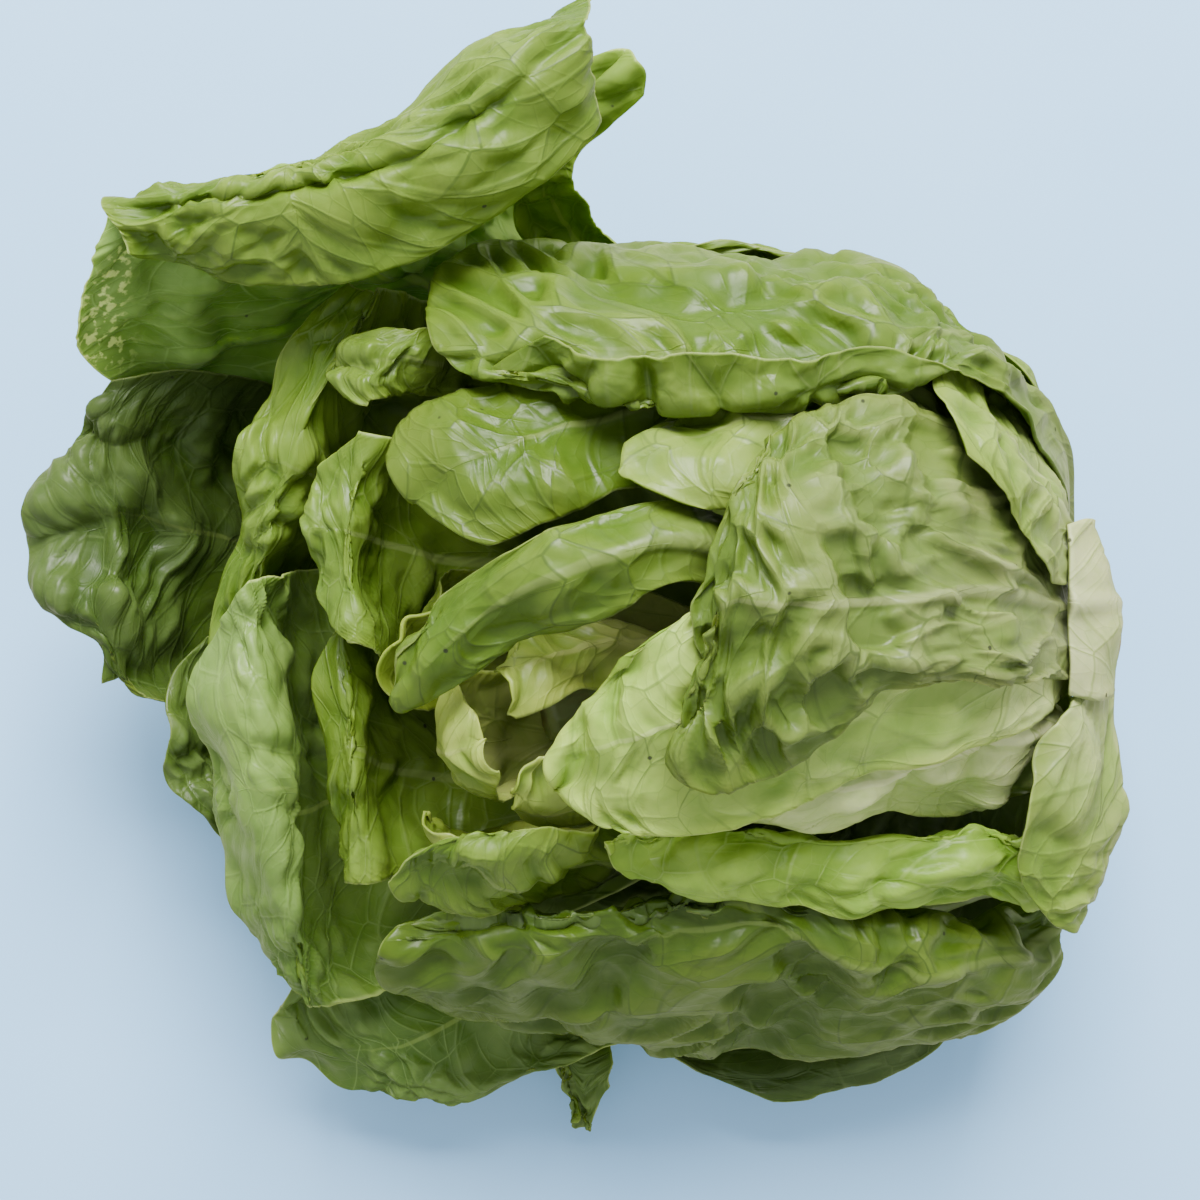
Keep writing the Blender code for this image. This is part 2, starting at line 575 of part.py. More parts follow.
def make_stem(lift):
    """A round stem from its cut to the bud in the heart."""
    rings = stem_rings(STEM_PROFILE, np.arange(STEM_SIDES) * 2 * math.pi / STEM_SIDES)
    vertices = (rings.reshape(-1, 3) + (0, 0, lift)) * MM
    faces = []
    for ring in range(len(rings) - 1):
        for k in range(STEM_SIDES):
            a, b = ring * STEM_SIDES + k, ring * STEM_SIDES + (k + 1) % STEM_SIDES
            faces.append((a, b, b + STEM_SIDES, a + STEM_SIDES))
    faces.append(tuple(reversed(range(STEM_SIDES))))
    faces.append(tuple(range(len(vertices) - STEM_SIDES, len(vertices))))
    mesh = bpy.data.meshes.new("stem")
    mesh.from_pydata(vertices.tolist(), [], faces)
    return mesh


def centred(pieces):
    """Every piece moved alike, until their common box stands on z = 0 round the origin."""
    corners = np.array([vertex.co for piece in pieces for vertex in piece.data.vertices])
    low, high = corners.min(0), corners.max(0)
    shift = Vector((-(low[0] + high[0]) / 2, -(low[1] + high[1]) / 2, -low[2]))
    for piece in pieces:
        piece.data.transform(Matrix.Translation(shift))


def main():
    for old in list(bpy.data.objects):
        bpy.data.objects.remove(old)
    laid = [stem_rings(STEM_ROOM, np.linspace(0, 2 * math.pi, STEM_SIDES * 3 // 2 + 1))]
    for name, leaf in LEAVES.items():
        sheet = waved(name, leaf_sheet(leaf), leaf)
        laid.append(sheet if leaf["tone"] == "heart" else eased_off(sheet, laid))
    low = min(sheet[..., 2].min() for sheet in laid[1:])
    sheets = settled(laid[1:], low)
    pieces = [add_object("stem", make_stem(BLADE / 2 - FLAT_DEPTH - low), leaf_material("cut_stem"))]
    for name, sheet in zip(LEAVES, sheets):
        leaf = LEAVES[name]
        pieces.append(add_object(name, blade_mesh(name, sheet, leaf), leaf_material(leaf["tone"] + "_leaf")))
    centred(pieces)


main()
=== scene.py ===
import math
import bpy
import numpy as np
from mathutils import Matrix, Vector, noise
from mathutils.bvhtree import BVHTree


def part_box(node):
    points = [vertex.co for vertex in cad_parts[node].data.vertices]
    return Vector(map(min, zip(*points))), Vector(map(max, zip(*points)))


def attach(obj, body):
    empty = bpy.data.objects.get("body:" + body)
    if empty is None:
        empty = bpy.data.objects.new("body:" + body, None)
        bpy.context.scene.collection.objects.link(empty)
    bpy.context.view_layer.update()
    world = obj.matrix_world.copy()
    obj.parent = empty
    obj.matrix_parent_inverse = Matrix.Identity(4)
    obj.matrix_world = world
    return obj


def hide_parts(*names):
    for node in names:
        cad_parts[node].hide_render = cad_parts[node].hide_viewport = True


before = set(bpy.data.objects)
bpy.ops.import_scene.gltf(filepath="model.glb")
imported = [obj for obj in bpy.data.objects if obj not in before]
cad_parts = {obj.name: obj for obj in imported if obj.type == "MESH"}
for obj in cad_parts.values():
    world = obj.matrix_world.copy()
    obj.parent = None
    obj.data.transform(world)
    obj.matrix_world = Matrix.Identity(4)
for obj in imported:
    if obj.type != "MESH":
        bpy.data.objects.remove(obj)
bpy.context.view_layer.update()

print("frame in: %d leaves and a stem" % (len(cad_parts) - 1))

mm = 0.001

# the stem and the middle that the leaves wrap round, in mm, as in the model
headSizes = {
    "stemCut": np.array((106.0, -5.0, 42.0)),
    "heart": np.array((-14.0, -24.0, 84.0)),
    "middle": np.array((12.0, -19.0, 74.0)),
    "coreEnd": np.array((80.0, -9.0, 51.0)),
    "stemSides": 16,
    "stemProfile": ((0, 12.0), (0.5, 9.0), (0.86, 6.5), (0.97, 4.0)),
    "stemRoom": ((-0.06, 13.0), (0.5, 10.0), (0.97, 6.5)),
}

# how the coarse leaves are laid, the same as in the model
layingSizes = {
    "blade": 0.8, "clearance": 2.3, "spanRows": 3, "spanColumns": 3, "finer": 4, "tip": (0.16, 0.12),
    "lump": 2.2, "lumpLength": 24.0, "rayLength": 300.0, "easingRounds": 12, "easingPasses": 2,
    "pressedBelow": 14.0, "press": 0.55, "flatDepth": 0.5,
}

# each leaf from the heart outwards: sections from stem to tip, places across it from margin to margin
leafShapes = {
    "heart_leaf_1": {
        "tone": "heart", "waves": (0.6, 5), "sections": [
            [(8, -31, 74), (6, -29, 68), (6, -23, 66), (8, -14, 69)],
            [(-10, -38, 80), (-16, -36, 76), (-17, -22, 76), (-12, -13, 80)],
            [(-18, -38, 94), (-27, -34, 92), (-29, -22, 92), (-24, -14, 94)],
            [(-18, -34, 102), (-24, -31, 104), (-26, -25, 104), (-22, -19, 102)],
            [(-16, -30, 106), (-19, -29, 107), (-20, -26, 107), (-18, -23, 106)],
        ],
    },
    "heart_leaf_2": {
        "tone": "heart", "waves": (2.0, 5), "sections": [
            [(14, -14, 88), (16, -10, 84), (16, -8, 78)],
            [(-2, -18, 100), (0, -10, 96), (-4, -4, 88)],
            [(-12, -20, 107), (-10, -12, 104), (-14, -4, 97)],
            [(-18, -22, 109), (-19, -15, 108), (-21, -8, 103)],
        ],
    },
    "heart_leaf_3": {
        "tone": "heart", "waves": (1.2, 6), "sections": [
            [(18, -34, 76), (19, -31, 81), (19, -26, 85)],
            [(2, -42, 86), (2, -38, 94), (2, -30, 100)],
            [(-10, -44, 94), (-10, -38, 101), (-8, -28, 105)],
            [(-18, -40, 100), (-17, -35, 105), (-15, -28, 108)],
        ],
    },
    "heart_leaf_4": {
        "tone": "heart", "waves": (1.6, 6), "sections": [
            [(20, -14, 58), (20, -8, 60), (22, -3, 64)],
            [(-8, -20, 64), (-10, -6, 68), (-4, 6, 76)],
            [(-32, -22, 80), (-34, -6, 82), (-26, 6, 88)],
            [(-38, -22, 98), (-38, -8, 100), (-30, 4, 102)],
        ],
    },
    "heart_leaf_5": {
        "tone": "heart", "waves": (1.6, 6), "sections": [
            [(24, -28, 56), (24, -30, 61), (24, -32, 66)],
            [(0, -44, 66), (2, -48, 74), (4, -46, 82)],
            [(-24, -46, 76), (-22, -50, 84), (-16, -48, 92)],
            [(-34, -36, 88), (-33, -42, 94), (-27, -46, 98)],
        ],
    },
    "rim_back": {
        "tone": "green", "waves": (1.6, 5), "tip": (0.08, 0.1), "sections": [
            [(50, 6, 56), (52, 8, 62), (52, 5, 70)],
            [(18, 42, 86), (22, 37, 95), (26, 26, 101)],
            [(-6, 44, 104), (-2, 34, 113), (6, 20, 117)],
            [(-28, 40, 108), (-20, 26, 118), (-8, 12, 119)],
            [(-40, 28, 104), (-34, 18, 111), (-22, 8, 114)],
        ],
    },
    "hood": {
        "tone": "green", "waves": (0.8, 5), "sections": [
            [(40, -4, 84), (38, -9, 85), (36, -14, 84)],
            [(30, 12, 104), (28, 5, 107), (25, -2, 105)],
            [(14, 18, 120), (13, 11, 124), (13, 3, 121)],
            [(-8, 13, 121), (-5, 5, 124), (-3, -4, 118)],
            [(-27, 2, 117), (-25, -6, 119), (-21, -13, 112)],
            [(-39, -14, 110), (-38, -19, 110), (-35, -23, 105)],
        ],
    },
    "rim_left": {
        "tone": "green", "waves": (1.6, 6), "tip": (0.05, 0.1), "sections": [
            [(50, -19, 48), (49, -14, 45), (51, -8, 46)],
            [(0, -20, 52), (-2, 6, 50), (4, 28, 58)],
            [(-36, -14, 76), (-37, 10, 76), (-33, 33, 80)],
            [(-45, -10, 100), (-46, 12, 102), (-43, 32, 100)],
            [(-56, -8, 94), (-57, 14, 97), (-55, 33, 94)],
        ],
    },
    "rim_low": {
        "tone": "green", "waves": (1.6, 7), "tip": (0.05, 0.1), "sections": [
            [(50, -24, 46), (50, -20, 43), (51, -15, 42)],
            [(0, -50, 56), (-4, -34, 48), (0, -8, 45)],
            [(-32, -55, 65), (-40, -33, 64), (-42, -4, 64)],
            [(-47, -56, 82), (-47, -29, 92), (-50, 0, 90)],
            [(-54, -60, 75), (-56, -31, 86), (-57, 0, 83)],
        ],
    },
    "rim_top": {
        "tone": "green", "waves": (1.4, 6), "sections": [
            [(58, 6, 48), (58, 10, 53), (58, 10, 60)],
            [(10, 43, 62), (12, 47, 72), (14, 45, 84)],
            [(-31, 39, 85), (-28, 46, 87), (-20, 52, 88)],
            [(-43, 37, 99), (-40, 44, 100), (-35, 51, 98)],
            [(-53, 37, 92), (-51, 45, 92), (-46, 53, 91)],
        ],
    },
    "rim_front": {
        "tone": "green", "waves": (1.8, 6), "sections": [
            [(56, -28, 60), (55, -30, 55), (54, -29, 50)],
            [(14, -38, 80), (12, -48, 74), (8, -52, 62)],
            [(-8, -41, 98), (-12, -50, 92), (-12, -57, 78)],
            [(-23, -42, 104), (-28, -51, 100), (-24, -60, 86)],
            [(-37, -46, 99), (-40, -54, 94), (-34, -61, 84)],
        ],
    },
    "shoulder": {
        "tone": "pale", "waves": (1.5, 6), "sections": [
            [(92, 0, 62), (91, 6, 62), (90, 12, 58)],
            [(82, 8, 86), (80, 22, 89), (76, 36, 80)],
            [(58, 16, 112), (56, 32, 109), (52, 50, 92)],
            [(28, 14, 123), (26, 30, 120), (24, 46, 104)],
            [(6, 14, 120), (3, 22, 120), (7, 34, 113)],
        ],
    },
    "pale_side": {
        "tone": "pale", "waves": (1.2, 6), "sections": [
            [(94, -26, 48), (94, -20, 56), (92, -14, 61)],
            [(94, -37, 57), (89, -26, 75), (84, -12, 88)],
            [(62, -44, 86), (60, -32, 101), (57, -16, 112)],
            [(32, -44, 94), (30, -34, 108), (28, -20, 118)],
            [(12, -39, 97), (10, -35, 107), (10, -26, 115)],
        ],
    },
    "under_front": {
        "tone": "pale", "waves": (1.4, 5), "sections": [
            [(95, -14, 61), (95, -8, 64), (94, -1, 64)],
            [(76, -22, 88), (74, -9, 100), (74, 6, 101)],
            [(42, -34, 108), (40, -14, 125), (42, 8, 123)],
            [(12, -42, 107), (9, -22, 124), (10, -4, 127)],
            [(-7, -41, 105), (-9, -31, 112), (-2, -15, 120)],
        ],
    },
    "front_wrapper": {
        "tone": "pale", "waves": (2.0, 8), "sections": [
            [(99, -14, 60), (99, -10, 64), (99, -6, 66), (99, -2, 66), (98, 3, 64)],
            [(80, -14, 88), (79, -7, 97), (78, 2, 102), (78, 14, 103), (80, 28, 92)],
            [(53, -15, 116), (52, -8, 124), (52, 0, 128), (51, 15, 127), (55, 33, 108)],
            [(37, -28, 120), (35, -14, 134), (34, 0, 139), (32, 16, 136), (36, 31, 118)],
            [(25, -36, 118), (23, -17, 134), (22, 0, 139), (24, 12, 137), (27, 23, 130)],
            [(7, -41, 113), (11, -30, 122), (15, -17, 130), (17, 0, 133), (22, 16, 132)],
        ],
    },
    "side_wrapper": {
        "tone": "green", "waves": (1.0, 7), "rib": 0.5, "sections": [
            [(98, -19, 57), (98, -20, 55), (97, -21, 52), (97, -22, 47), (96, -22, 40)],
            [(103, -40, 66), (101, -39, 71), (97, -38, 72), (98, -40, 60), (97, -38, 43)],
            [(90, -63, 68), (91, -57, 77), (92, -48, 76), (96, -53, 60), (95, -58, 43)],
            [(79, -62, 73), (78, -55, 82), (78, -46, 83), (82, -54, 64), (81, -65, 38)],
            [(49, -62, 83), (48, -54, 92), (48, -45, 91), (50, -54, 72), (50, -68, 44)],
            [(20, -58, 92), (18, -51, 99), (18, -43, 97), (17, -51, 82), (18, -66, 52)],
            [(6, -59, 94), (2, -52, 100), (1, -45, 98), (3, -50, 87), (6, -60, 70)],
        ],
    },
    "back_rib": {
        "tone": "pale", "waves": (1.0, 5), "sections": [
            [(95, 2, 64), (95, 6, 62), (95, 10, 58)],
            [(84, 2, 90), (87, 14, 86), (89, 26, 74)],
            [(70, 16, 108), (74, 29, 100), (79, 42, 80)],
            [(56, 28, 116), (62, 42, 104), (68, 54, 86)],
        ],
    },
    "top_wrapper": {
        "tone": "green", "waves": (1.2, 8), "tip": (0.06, 0), "sections": [
            [(98, 12, 56), (99, 15, 52), (99, 18, 47), (98, 21, 42)],
            [(90, 24, 80), (92, 30, 74), (94, 34, 63), (92, 37, 50)],
            [(70, 38, 102), (71, 42, 96), (72, 49, 84), (72, 55, 60)],
            [(56, 42, 116), (54, 34, 108), (57, 54, 97), (60, 66, 64)],
            [(36, 43, 124), (36, 33, 116), (38, 56, 104), (39, 71, 67)],
            [(16, 42, 127), (16, 33, 119), (17, 56, 106), (17, 71, 68)],
            [(-4, 43, 124), (-5, 34, 116), (-9, 55, 105), (-10, 70, 70)],
            [(-17, 48, 118), (-24, 40, 109), (-33, 53, 100), (-29, 68, 78)],
        ],
    },
    "low_wrapper": {
        "tone": "outer", "waves": (1.2, 8), "tip": (0.06, 0.08), "sections": [
            [(98, -17, 27), (99, -19, 29), (99, -21, 32), (100, -22, 35), (99, -22, 39)],
            [(101, -44, 25), (104, -47, 28), (105, -49, 32), (106, -50, 36), (106, -50, 41)],
            [(94, -83, 36), (95, -79, 44), (95, -74, 49), (94, -69, 50), (95, -62, 43)],
            [(66, -94, 40), (64, -82, 61), (62, -73, 74), (60, -66, 74), (64, -68, 54)],
            [(35, -99, 36), (33, -81, 67), (32, -65, 86), (31, -57, 86), (33, -67, 62)],
            [(-6, -97, 36), (-5, -82, 67), (-5, -68, 88), (-5, -60, 89), (-6, -69, 66)],
            [(-44, -84, 46), (-46, -76, 64), (-44, -69, 78), (-39, -63, 80), (-33, -67, 68)],
        ],
    },
    "long_left": {
        "tone": "outer", "waves": (1.8, 9), "tip": (0.05, 0.08), "sections": [
            [(90, -15, 33), (89, -10, 31), (89, -4, 31), (90, 1, 33)],
            [(30, -52, 22), (32, -34, 19), (32, -12, 19), (30, 8, 22)],
            [(-20, -78, 24), (-20, -48, 20), (-20, -16, 20), (-20, 14, 24)],
            [(-47, -86, 42), (-55, -60, 42), (-59, -28, 44), (-60, 8, 46)],
            [(-59, -89, 60), (-63, -54, 81), (-65, -22, 90), (-66, 6, 90)],
            [(-71, -91, 48), (-77, -54, 69), (-81, -22, 80), (-79, 5, 84)],
        ],
    },
    "upper_left": {
        "tone": "green", "waves": (2.2, 8), "tip": (0.05, 0.08), "sections": [
            [(93, 0, 30), (93, 5, 32), (94, 10, 35), (95, 15, 40)],
            [(34, 4, 16), (34, 26, 18), (34, 42, 24), (34, 56, 36)],
            [(-24, -6, 18), (-22, 24, 18), (-18, 48, 28), (-12, 62, 44)],
            [(-66, -20, 40), (-58, 14, 44), (-48, 40, 52), (-34, 62, 64)],
            [(-74, -22, 64), (-65, 12, 80), (-56, 37, 87), (-40, 61, 87)],
            [(-84, -22, 58), (-75, 16, 74), (-66, 43, 80), (-51, 69, 81)],
        ],
    },
    "back_wrapper": {
        "tone": "green", "waves": (2.0, 8), "sections": [
            [(98, 14, 30), (98, 15, 34), (97, 16, 39)],
            [(92, 32, 26), (95, 34, 42), (92, 31, 55)],
            [(68, 55, 24), (71, 60, 44), (69, 58, 58)],
            [(30, 64, 22), (32, 72, 44), (32, 71, 60)],
            [(-10, 62, 24), (-10, 70, 46), (-10, 70, 62)],
            [(-34, 56, 32), (-37, 65, 48), (-35, 66, 62)],
        ],
    },
    "under_back": {
        "tone": "outer", "waves": (2.0, 8), "sections": [
            [(97, 2, 24), (98, 7, 27), (98, 11, 31)],
            [(60, 10, 8), (62, 30, 10), (66, 48, 22)],
            [(14, 10, 8), (14, 40, 10), (14, 64, 20)],
            [(-28, 10, 12), (-30, 38, 14), (-30, 60, 26)],
            [(-54, 12, 26), (-58, 30, 30), (-54, 50, 38)],
        ],
    },
    "low_left": {
        "tone": "outer", "waves": (2.0, 7), "sections": [
            [(97, -16, 25), (96, -13, 24), (96, -10, 23)],
            [(30, -56, 12), (30, -32, 9), (30, -8, 9)],
            [(-36, -66, 16), (-38, -34, 12), (-38, 0, 12)],
            [(-70, -62, 36), (-76, -34, 36), (-76, -2, 36)],
            [(-77, -58, 46), (-90, -38, 54), (-93, -2, 58)],
        ],
    },
    "low_outer": {
        "tone": "outer", "waves": (1.8, 7), "sections": [
            [(100, -20, 27), (100, -17, 25), (99, -13, 24)],
            [(94, -60, 24), (84, -46, 16), (74, -30, 14)],
            [(84, -92, 28), (66, -74, 17), (54, -52, 14)],
            [(54, -112, 30), (42, -92, 18), (34, -66, 14)],
            [(14, -113, 27), (10, -96, 18), (12, -76, 14)],
        ],
    },
    "splayed_low": {
        "tone": "outer", "waves": (2.6, 8), "sections": [
            [(98, -18, 22), (97, -17, 21), (96, -15, 20)],
            [(50, -60, 16), (48, -48, 12), (46, -34, 11)],
            [(4, -97, 21), (-4, -76, 15), (-8, -54, 12)],
            [(-26, -114, 27), (-42, -97, 36), (-44, -66, 30)],
            [(-49, -116, 24), (-71, -99, 32), (-72, -74, 36)],
        ],
    },
    "under_front_low": {
        "tone": "outer", "waves": (0.8, 5), "sections": [
            [(96, -14, 19), (95, -11, 18), (95, -8, 17)],
            [(50, -60, 13), (48, -40, 9), (46, -20, 8)],
            [(6, -88, 14), (0, -66, 10), (-6, -44, 9)],
            [(0, -104, 20), (-7, -99, 18), (-16, -90, 14)],
            [(1, -125, 12), (-4, -123, 14), (-8, -118, 13)],
        ],
    },
    "right_wrapper": {
        "tone": "pale", "waves": (1.2, 4), "sections": [
            [(97, -13, 68), (102, -15, 60), (104, -17, 52), (105, -19, 45)],
            [(84, -27, 87), (96, -30, 73), (100, -32, 57), (100, -32, 44)],
            [(78, -43, 86), (92, -47, 73), (97, -49, 58), (97, -48, 47)],
            [(78, -55, 82), (90, -60, 71), (97, -61, 59), (98, -60, 51)],
        ],
    },
    "torn_base": {
        "tone": "pale", "waves": (0.8, 4), "sections": [
            [(88, -14, 75), (88, -3, 78), (88, 8, 76)],
            [(98, -14, 69), (99, -2, 72), (98, 11, 69)],
            [(100, -12, 62), (101, -1, 66), (100, 11, 63)],
        ],
    },
    "splayed_left": {
        "tone": "outer", "waves": (3.4, 7), "sections": [
            [(98, -12, 16), (97, -9, 15), (97, -6, 14), (97, -3, 15), (98, 0, 16)],
            [(56, -25, 4), (56, -12, 3), (56, 0, 3), (56, 12, 3), (56, 25, 4)],
            [(-2, -30, 4), (-2, -14, 3), (-2, 2, 3), (-2, 18, 3), (-2, 34, 4)],
            [(-46, -32, 12), (-46, -12, 11), (-46, 6, 11), (-46, 24, 11), (-46, 42, 13)],
            [(-74, -26, 36), (-76, -6, 34), (-76, 14, 33), (-74, 32, 36), (-72, 48, 42)],
            [(-89, -24, 56), (-91, -4, 52), (-90, 14, 48), (-89, 32, 54), (-87, 50, 62)],
            [(-102, -20, 62), (-102, -4, 66), (-100, 14, 62), (-102, 32, 66), (-100, 48, 70)],
            [(-110, -14, 54), (-116, -2, 58), (-120, 14, 60), (-116, 30, 60), (-108, 44, 64)],
        ],
    },
    "back_tall": {
        "tone": "green", "waves": (1.4, 6), "tip": (0.05, 0.05), "sections": [
            [(98, 14, 28), (98, 16, 31), (97, 18, 35)],
            [(66, 56, 18), (68, 60, 27), (67, 60, 36)],
            [(0, 68, 26), (3, 73, 34), (6, 73, 42)],
            [(-20, 84, 48), (-13, 88, 56), (-6, 87, 62)],
            [(-5, 110, 78), (5, 108, 82), (13, 103, 83)],
        ],
    },
    "curled_top": {
        "tone": "outer", "waves": (1.0, 8), "tip": (0.0, 0), "sections": [
            [(99, 4, 15), (99, 7, 16), (99, 10, 18), (99, 14, 21), (98, 17, 25)],
            [(42, 38, 8), (44, 44, 10), (46, 50, 14), (48, 54, 20), (50, 60, 26)],
            [(-34, 36, 16), (-26, 47, 18), (-16, 57, 22), (-8, 65, 27), (1, 72, 33)],
            [(-82, 36, 52), (-60, 52, 50), (-40, 66, 52), (-26, 76, 56), (-14, 85, 60)],
            [(-101, 48, 77), (-84, 62, 75), (-61, 72, 80), (-36, 82, 86), (-6, 102, 88)],
            [(-98, 62, 90), (-81, 76, 96), (-57, 80, 103), (-33, 89, 106), (-3, 113, 108)],
            [(-93, 73, 99), (-77, 74, 107), (-56, 76, 112), (-32, 82, 116), (-2, 104, 117)],
            [(-88, 65, 103), (-72, 61, 98), (-52, 60, 101), (-30, 65, 106), (0, 88, 107)],
        ],
    },
}


def unit(vectors):
    return vectors / np.maximum(np.linalg.norm(vectors, axis=-1, keepdims=True), 1e-9)


def through(points, perSpan):  # smooth curves through points[i], one for each points[:, j]
    points = np.concatenate((2 * points[:1] - points[1:2], points, 2 * points[-1:] - points[-2:-1]))
    step = np.sqrt(np.maximum(np.linalg.norm(np.diff(points, axis=0), axis=-1, keepdims=True), 1e-6))
    rows = []
    for i in range(1, len(points) - 2):
        p0, p1, p2, p3 = points[i - 1: i + 3]
        d0, d1, d2 = step[i - 1: i + 2]
        m1 = (p1 - p0) / d0 - (p2 - p0) / (d0 + d1) + (p2 - p1) / d1
        m2 = (p2 - p1) / d1 - (p3 - p1) / (d1 + d2) + (p3 - p2) / d2
        for u in np.arange(perSpan) / perSpan:
            rows.append((2 * u ** 3 - 3 * u ** 2 + 1) * p1 + (u ** 3 - 2 * u ** 2 + u) * d1 * m1
                        + (3 * u ** 2 - 2 * u ** 3) * p2 + (u ** 3 - u ** 2) * d1 * m2)
    rows.append(points[-2])
    return np.array(rows)


def sampled(grid, row, column):  # a grid's places at any rows and columns, in between too
    i = np.clip(np.floor(row).astype(int), 0, len(grid) - 2)
    j = np.clip(np.floor(column).astype(int), 0, len(grid[0]) - 2)
    u, v = (row - i)[..., None], (column - j)[..., None]
    return ((1 - u) * ((1 - v) * grid[i, j] + v * grid[i, j + 1])
            + u * ((1 - v) * grid[i + 1, j] + v * grid[i + 1, j + 1]))


def leafShares(rows, columns):  # stem to tip 0 to 1, across -1 to 1
    run = np.linspace(0, 1, rows)[:, None] * np.ones((1, columns))
    across = np.linspace(-1, 1, columns)[None, :] * np.ones((rows, 1))
    return run, across


def coreOf(places):
    line = headSizes["coreEnd"] - headSizes["middle"]
    share = np.clip(((places - headSizes["middle"]) @ line) / (line @ line), 0, 1)
    return headSizes["middle"] + share[..., None] * line


def leafSheet(leaf):  # the middle surface of a leaf, its tip's corners drawn in
    finer = layingSizes["finer"]
    fine = through(np.array(leaf["sections"], float), layingSizes["spanRows"] * finer).transpose(1, 0, 2)
    fine = through(fine, layingSizes["spanColumns"] * finer).transpose(1, 0, 2)
    run, across = leafShares((len(fine) - 1) // finer + 1, (len(fine[0]) - 1) // finer + 1)
    drawn, narrowed = leaf.get("tip", layingSizes["tip"])
    drawnRun = run * (1 - drawn * np.abs(across) ** 3)
    drawnAcross = across * (1 - narrowed * run ** 4)
    return sampled(fine, drawnRun * (len(fine) - 1), (drawnAcross + 1) / 2 * (len(fine[0]) - 1))


def sheetNormals(points):  # on the side away from the middle of the head
    normals = unit(np.cross(np.gradient(points, axis=0), np.gradient(points, axis=1)))
    facing = ((points - coreOf(points)) * normals)[: len(points) * 2 // 3].sum()
    return normals if facing > 0 else -normals


def waved(name, points, leaf):
    run, across = leafShares(*points.shape[:2])
    seed = sum(map(ord, name)) % 97
    tall, count = leaf["waves"]
    angle = np.arctan2(across, run - 0.35)
    edge = np.clip(np.maximum(np.abs(across), run * 2 - 1), 0, 1) ** 3 * np.clip(run * 3 - 0.4, 0, 1)
    shift = Vector((seed, 0, 0))
    length = layingSizes["lumpLength"]
    lumps = np.array([[noise.noise(Vector(p) / length + shift) for p in row] for row in points])
    height = tall * edge * np.sin(count * angle + seed) + layingSizes["lump"] * lumps * np.clip(run * 2, 0, 1)
    return points + sheetNormals(points) * height[..., None]


def gridFaces(rows, columns):
    faces = []
    for i in range(rows - 1):
        for j in range(columns - 1):
            a, b = i * columns + j, i * columns + j + 1
            faces += [(a, b, b + columns), (a, b + columns, a + columns)]
    return faces


def treeOf(sheets):
    vertices, faces = [], []
    for sheet in sheets:
        base = len(vertices)
        vertices += [Vector(p) for p in sheet.reshape(-1, 3)]
        faces += [tuple(base + k for k in face) for face in gridFaces(*sheet.shape[:2])]
    return BVHTree.FromPolygons(vertices, faces)


def covered(tree, place):  # how far out of this place the tree's sheets still lie, and the face
    core = coreOf(place)
    direction = unit(place - core)
    far = layingSizes["rayLength"]
    hit = tree.ray_cast(Vector(core + direction * far), Vector(-direction), far)
    if hit[0] is None:
        return None, None
    return far - hit[3] - np.linalg.norm(place - core), hit[2]


def spreadOut(lack):
    push = lack.copy()
    for _ in range(layingSizes["easingRounds"]):
        spread = np.pad(push, 1, mode="edge")
        spread = (spread[:-2, 1:-1] + spread[2:, 1:-1] + spread[1:-1, :-2] + spread[1:-1, 2:]) / 4
        push = np.maximum(lack, (push + spread) / 2)
    return push


def easedOff(points, laid):  # pushed out from the core until it clears the leaves laid before
    tree = treeOf(laid)
    rows, columns = points.shape[:2]
    faces = gridFaces(rows, columns)
    clearance = layingSizes["clearance"]
    for _ in range(layingSizes["easingPasses"]):
        lack = np.zeros(rows * columns)
        places = points.reshape(-1, 3)
        for corners in [(k,) for k in range(len(places))] + faces:
            above, _ = covered(tree, places[list(corners)].mean(0))
            if above is not None:
                for k in corners:
                    lack[k] = max(lack[k], above + clearance)
        own = treeOf([points])
        for place in np.concatenate([sheet.reshape(-1, 3) for sheet in laid]):
            above, face = covered(own, place)
            if above is not None:
                for k in faces[face]:
                    lack[k] = max(lack[k], clearance - above)
        push = spreadOut(lack.reshape(rows, columns))
        points = points + unit(points - coreOf(points)) * push[..., None]
    return points


def settled(sheet, low):  # low places pressed together, the lowest laid flat on the floor
    height = sheet[..., 2] - low
    share = np.clip(height / layingSizes["pressedBelow"], 0, 1)
    press = layingSizes["press"]
    pressed = np.where(share < 1, height * (press + (1 - press) * share), height)
    sheet = sheet.copy()
    sheet[..., 2] = np.maximum(pressed - layingSizes["flatDepth"], 0) + layingSizes["blade"] / 2
    return sheet


def stemRings(profile, turns):
    reach = headSizes["heart"] - headSizes["stemCut"]
    along = unit(reach)
    up = unit(np.array((0, 0, 1.0)) - along[2] * along)
    roundIt = np.outer(np.cos(turns), up) + np.outer(np.sin(turns), np.cross(along, up))
    return np.array([headSizes["stemCut"] + reach * share + roundIt * radius for share, radius in profile])


def laidLeaves():
    turns = np.linspace(0, 2 * math.pi, headSizes["stemSides"] * 3 // 2 + 1)
    laid = [stemRings(headSizes["stemRoom"], turns)]
    for name, leaf in leafShapes.items():
        sheet = waved(name, leafSheet(leaf), leaf)
        laid.append(sheet if leaf["tone"] == "heart" else easedOff(sheet, laid))
    low = min(sheet[..., 2].min() for sheet in laid[1:])
    lift = layingSizes["blade"] / 2 - layingSizes["flatDepth"] - low
    return {name: settled(sheet, low) for name, sheet in zip(leafShapes, laid[1:])}, lift


